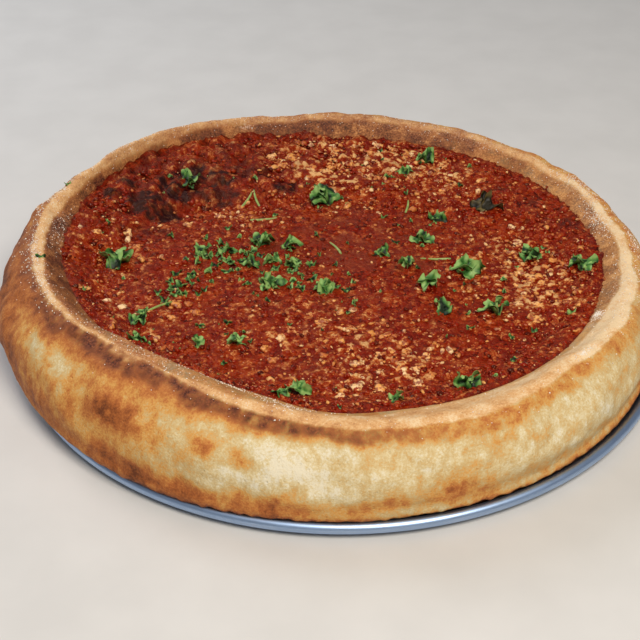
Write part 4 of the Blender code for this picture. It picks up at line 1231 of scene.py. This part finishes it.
def lay_leaves(settings):
    """Every loose parsley leaf, and the dried leaf."""
    green = leaf_material("fresh chopped parsley", settings.shade, settings.leaf, settings.tip_painted_highlight)
    brown = leaf_material("dried leaf", "#140F06", settings.dried, "#6E5E36")
    for number, place in enumerate(LEAF_PLACES, start=1):
        lay_leaf(f"parsley_leaf_{number:02d}", f"parsley_{number:02d}", place, green,
                 settings.thickness, number)
    lay_leaf("dried_leaf_curled", "dried_leaf", (*DRIED_LEAF_PLACE[:4], 1), brown,
             settings.thickness, DRIED_LEAF_SEED)


def scatter_flecks(settings):
    """Chopped scraps of parsley: the solid sauce's flecks, and smaller ones round them."""
    rng = random.Random(SCRAP_SEED)
    scraps = [(x, y, 0.5 * FLECK_LENGTH * size, FLECK_WIDTH / FLECK_LENGTH, turn)
              for x, y, size, turn in solid_bits()[1]]
    for scrap in range(SCRAPS):
        near = LEAF_PLACES[rng.randrange(len(LEAF_PLACES))]
        clustered = scrap < CLUSTERED_SCRAPS
        if clustered:
            near = CLUSTER_PLACES[scrap % len(CLUSTER_PLACES)]
        away = rng.gauss(0.0, CLUSTER_SPREAD if clustered else SCRAP_SPREAD)
        turn = rng.uniform(0.0, math.tau)
        x, y = beside(near[0] * MM, near[1] * MM, away, turn)
        if rng.random() < 0.3 and not clustered:
            x, y = beside(PIZZA_X, 0.0, SCRAP_RADIUS * math.sqrt(rng.random()), turn)
        if pool_reach(x, y) < 0.9:
            smallest, largest = (1.6, 4.2) if clustered else (0.7, 2.2)
            scraps.append((x, y, rng.uniform(smallest, largest) * MM, rng.uniform(0.5, 0.85),
                           rng.uniform(0.0, math.pi)))
    levels = [float(sauce_top(scrap[0], scrap[1])) for scrap in scraps]
    rim_points, _, along, _ = crust_grid()
    for azimuth, share, half, narrow, turn in RIM_SCRAPS:
        x, y, level = rim_place(rim_points, along, azimuth, share, rng)
        scraps.append((x, y, half * MM, narrow, turn))
        levels.append(level)
    parts = []
    for (x, y, half, narrow, turn), level in zip(scraps, levels):
        points, faces, labels = leaflet_form(1.15 * half, rng, min(0.8 * MM, 0.5 * half), 24, 4)
        points[:, 1] *= narrow
        labels["tone"] = labels["tone"] + rng.uniform(-0.3, 0.15)
        parts.append((turned(points, turn) + np.array((x, y, level + 0.5 * MM)), faces, labels))
    green = leaf_material("chopped parsley scraps", settings.shade, settings.leaf, settings.tip_painted_highlight)
    add_gathered("parsley_flecks", parts, green)


def lay_stems(settings):
    """Short stems of parsley on the sauce."""
    sides, rings = 10, 12
    step = np.linspace(0.0, 1.0, rings)
    around = math.tau * np.arange(sides)[:, None] / sides
    faces = [*ring_faces(rings, sides), range(sides)[::-1],
             range((rings - 1) * sides, rings * sides)]
    parts = []
    for number, (x, y, length, turn) in enumerate(STEM_PLACES):
        cos, sin = math.cos(math.radians(turn)), math.sin(math.radians(turn))
        heading, across = np.array((cos, sin, 0.0)), np.array((-sin, cos, 0.0))
        start, end = (np.array((x, y, 0.0)) * MM + heading * side * 0.5 * length * MM
                      for side in (-1, 1))
        bend = 0.05 * length * MM * np.sin(step * math.pi) * (1 if number % 2 else -1)
        line = start + (end - start) * step[:, None] + bend[:, None] * across
        low, high = (float(sauce_top(place[0], place[1])) for place in (start, end))
        line[:, 2] = low + (high - low) * step + 0.2 * MM
        radius = STEM_RADIUS * (1.0 - 0.3 * step) * (0.55 + 0.45 * np.sin(step * math.pi) ** 0.3)
        spokes = np.cos(around) * across + np.sin(around) * np.array((0.0, 0.0, 1.0))
        tube = line[:, None] + radius[:, None, None] * spokes
        parts.append((tube.reshape(-1, 3), faces, {}))
    green = plain_grain_material("parsley stem", settings.stem, "#7E9646", 2.0 * MM, 0.4)
    add_gathered("parsley_stems", parts, green)


def build_pan(settings):
    """Turned pan in fine steps: floor, sloping side and rolled edge."""
    def between(start, end, shares):
        return [tuple(np.add(start, np.subtract(end, start) * share)) for share in shares]

    centre = PAN_RADIUS - PAN_BEAD_RADIUS
    turns = np.radians(PAN_BEAD_START - PAN_BEAD_TURN * np.linspace(0.0, 1.0, PAN_BEAD_STEPS))
    bead = list(zip(centre + PAN_BEAD_RADIUS * np.cos(turns),
                    PAN_BEAD_HEIGHT + PAN_BEAD_RADIUS * np.sin(turns)))
    foot = (PAN_FLOOR_RADIUS, 0.0)
    profile = [(r, PAN_SHEET) for r in (0.5 * MM, *np.linspace(0.04, PAN_FLOOR_RADIUS, 5))]
    profile += between(profile[-1], bead[0], (0.03, 0.4, 0.8)) + bead
    profile += between(bead[-1], foot, (0.5, 0.97)) + [foot, (0.1, 0.0), (0.5 * MM, 0.0)]
    radius, height = np.array(profile).T[..., None]
    around = math.tau * np.arange(settings.steps) / settings.steps
    rings = np.broadcast_arrays(radius * np.cos(around), radius * np.sin(around), height)
    points = np.stack(rings, axis=-1).reshape(-1, 3)
    faces = [*ring_faces(len(profile), settings.steps)[:, ::-1], range(settings.steps),
             range(len(points) - settings.steps, len(points))[::-1]]
    add_piece("pan_spun", points, faces, pan_material(settings),
              replaced=("pan",))


def add_light(name, place, power, colour):
    """Large soft light that faces the pizza."""
    lamp = bpy.data.lights.new(name, "AREA")
    lamp.shape = "DISK"
    lamp.size = LIGHT_SIZE
    lamp.energy = power
    lamp.color = linear(colour)
    light = bpy.data.objects.new(name, lamp)
    light.location = place
    light.rotation_euler = (-Vector(place)).to_track_quat("-Z", "Y").to_euler()
    bpy.context.scene.collection.objects.link(light)


def set_stage(settings):
    """Plain pale floor, soft lights and the camera."""
    scene = bpy.context.scene
    work = bmesh.new()
    bmesh.ops.create_grid(work, x_segments=1, y_segments=1, size=FLOOR_SIZE)
    mesh = bpy.data.meshes.new("floor")
    work.to_mesh(mesh)
    work.free()
    floor = bpy.data.objects.new("floor", mesh)
    floor.location.z = -FLOOR_DROP
    scene.collection.objects.link(floor)
    mesh.materials.append(plain_grain_material("matt paper", settings.floor, "#D4D2CE",
                                               40.0 * MM, 0.8))
    world = bpy.data.worlds.new("soft sky")
    world.use_nodes = True
    set_inputs(world.node_tree, world.node_tree.nodes["Background"],
               {"Color": settings.sky, "Strength": settings.sky_strength})
    scene.world = world
    scene.view_settings.view_transform = "Standard"
    add_light("key", KEY_PLACE, settings.key_power, "#FFF6EA")
    add_light("fill", FILL_PLACE, settings.fill_power, "#F2F6FF")
    tilt = math.radians(CAMERA_ELEVATION)
    camera_data = bpy.data.cameras.new("camera")
    camera_data.lens = CAMERA_LENS
    camera_data.sensor_width = 36.0
    camera_data.shift_x, camera_data.shift_y = CAMERA_SHIFT
    camera_data.clip_start = 0.05
    camera = bpy.data.objects.new("camera", camera_data)
    camera.location = (0.0, -CAMERA_DISTANCE * math.cos(tilt), CAMERA_DISTANCE * math.sin(tilt))
    camera.rotation_euler = (math.radians(90.0) - tilt, 0.0, 0.0)
    scene.collection.objects.link(camera)
    scene.camera = camera


class PizzaPanOperator(bpy.types.Operator):
    """Build the spun aluminium pan"""
    bl_idname = "pizza.pan"
    bl_label = "Pan"

    def execute(self, context):
        build_pan(context.scene.pizza_pan)
        return {"FINISHED"}


class PizzaCrustOperator(bpy.types.Operator):
    """Build the baked crust"""
    bl_idname = "pizza.crust"
    bl_label = "Crust"

    def execute(self, context):
        build_crust(context.scene.pizza_crust)
        return {"FINISHED"}


class PizzaFlourOperator(bpy.types.Operator):
    """Dust the rim with flour"""
    bl_idname = "pizza.flour"
    bl_label = "Flour"

    def execute(self, context):
        dust_flour()
        return {"FINISHED"}


class PizzaSauceOperator(bpy.types.Operator):
    """Build the tomato sauce"""
    bl_idname = "pizza.sauce"
    bl_label = "Sauce"

    def execute(self, context):
        build_sauce(context.scene.pizza_sauce)
        return {"FINISHED"}


class PizzaPulpOperator(bpy.types.Operator):
    """Scatter bits of crushed tomato on the sauce"""
    bl_idname = "pizza.pulp"
    bl_label = "Tomato bits"

    def execute(self, context):
        scatter_pulp(context.scene.pizza_sauce)
        return {"FINISHED"}


class PizzaCheeseOperator(bpy.types.Operator):
    """Scatter crumbs of cheese on the sauce"""
    bl_idname = "pizza.cheese"
    bl_label = "Cheese"

    def execute(self, context):
        scatter_cheese(context.scene.pizza_cheese)
        return {"FINISHED"}


class PizzaLeavesOperator(bpy.types.Operator):
    """Lay the loose parsley leaves and the dried leaf"""
    bl_idname = "pizza.leaves"
    bl_label = "Parsley leaves"

    def execute(self, context):
        lay_leaves(context.scene.pizza_parsley)
        return {"FINISHED"}


class PizzaFlecksOperator(bpy.types.Operator):
    """Scatter chopped scraps of parsley"""
    bl_idname = "pizza.flecks"
    bl_label = "Parsley flecks"

    def execute(self, context):
        scatter_flecks(context.scene.pizza_parsley)
        return {"FINISHED"}


class PizzaStemsOperator(bpy.types.Operator):
    """Lay the short parsley stems"""
    bl_idname = "pizza.stems"
    bl_label = "Parsley stems"

    def execute(self, context):
        lay_stems(context.scene.pizza_parsley)
        return {"FINISHED"}


class PizzaStageOperator(bpy.types.Operator):
    """Set the floor, the lights and the camera"""
    bl_idname = "pizza.stage"
    bl_label = "Floor, lights and camera"

    def execute(self, context):
        set_stage(context.scene.pizza_stage)
        return {"FINISHED"}


OPERATORS = (PizzaPanOperator, PizzaCrustOperator, PizzaFlourOperator, PizzaSauceOperator,
             PizzaPulpOperator, PizzaCheeseOperator, PizzaLeavesOperator, PizzaFlecksOperator,
             PizzaStemsOperator, PizzaStageOperator)
SETTINGS = {"pizza_crust": CrustSettings, "pizza_sauce": SauceSettings,
            "pizza_cheese": CheeseSettings, "pizza_parsley": ParsleySettings,
            "pizza_pan": PanSettings, "pizza_stage": StageSettings}


class PizzaPanel(bpy.types.Panel):
    """The pizza's pieces in the 3D view's sidebar"""
    bl_idname = "VIEW3D_PT_pizza"
    bl_label = "Deep dish pizza"
    bl_space_type = "VIEW_3D"
    bl_region_type = "UI"
    bl_category = "Pizza"

    def draw(self, context):
        for operator in OPERATORS:
            self.layout.operator(operator.bl_idname)
        for label in SETTINGS:
            box = self.layout.box()
            group = getattr(context.scene, label)
            for name in group.bl_rna.properties.keys():
                if name not in ("rna_type", "name"):
                    box.prop(group, name)


def register():
    """Register the settings, operators and panel."""
    for cls in (*SETTINGS.values(), *OPERATORS, PizzaPanel):
        bpy.utils.register_class(cls)
    for label, cls in SETTINGS.items():
        setattr(bpy.types.Scene, label, PointerProperty(type=cls))


def unregister():
    """Take the settings, operators and panel away again."""
    for label in SETTINGS:
        delattr(bpy.types.Scene, label)
    for cls in reversed((*SETTINGS.values(), *OPERATORS, PizzaPanel)):
        bpy.utils.unregister_class(cls)


def main():
    """Build every piece in order."""
    register()
    for operator in OPERATORS:
        family, name = operator.bl_idname.split(".")
        getattr(getattr(bpy.ops, family), name)()


if __name__ == "__main__":
    main()
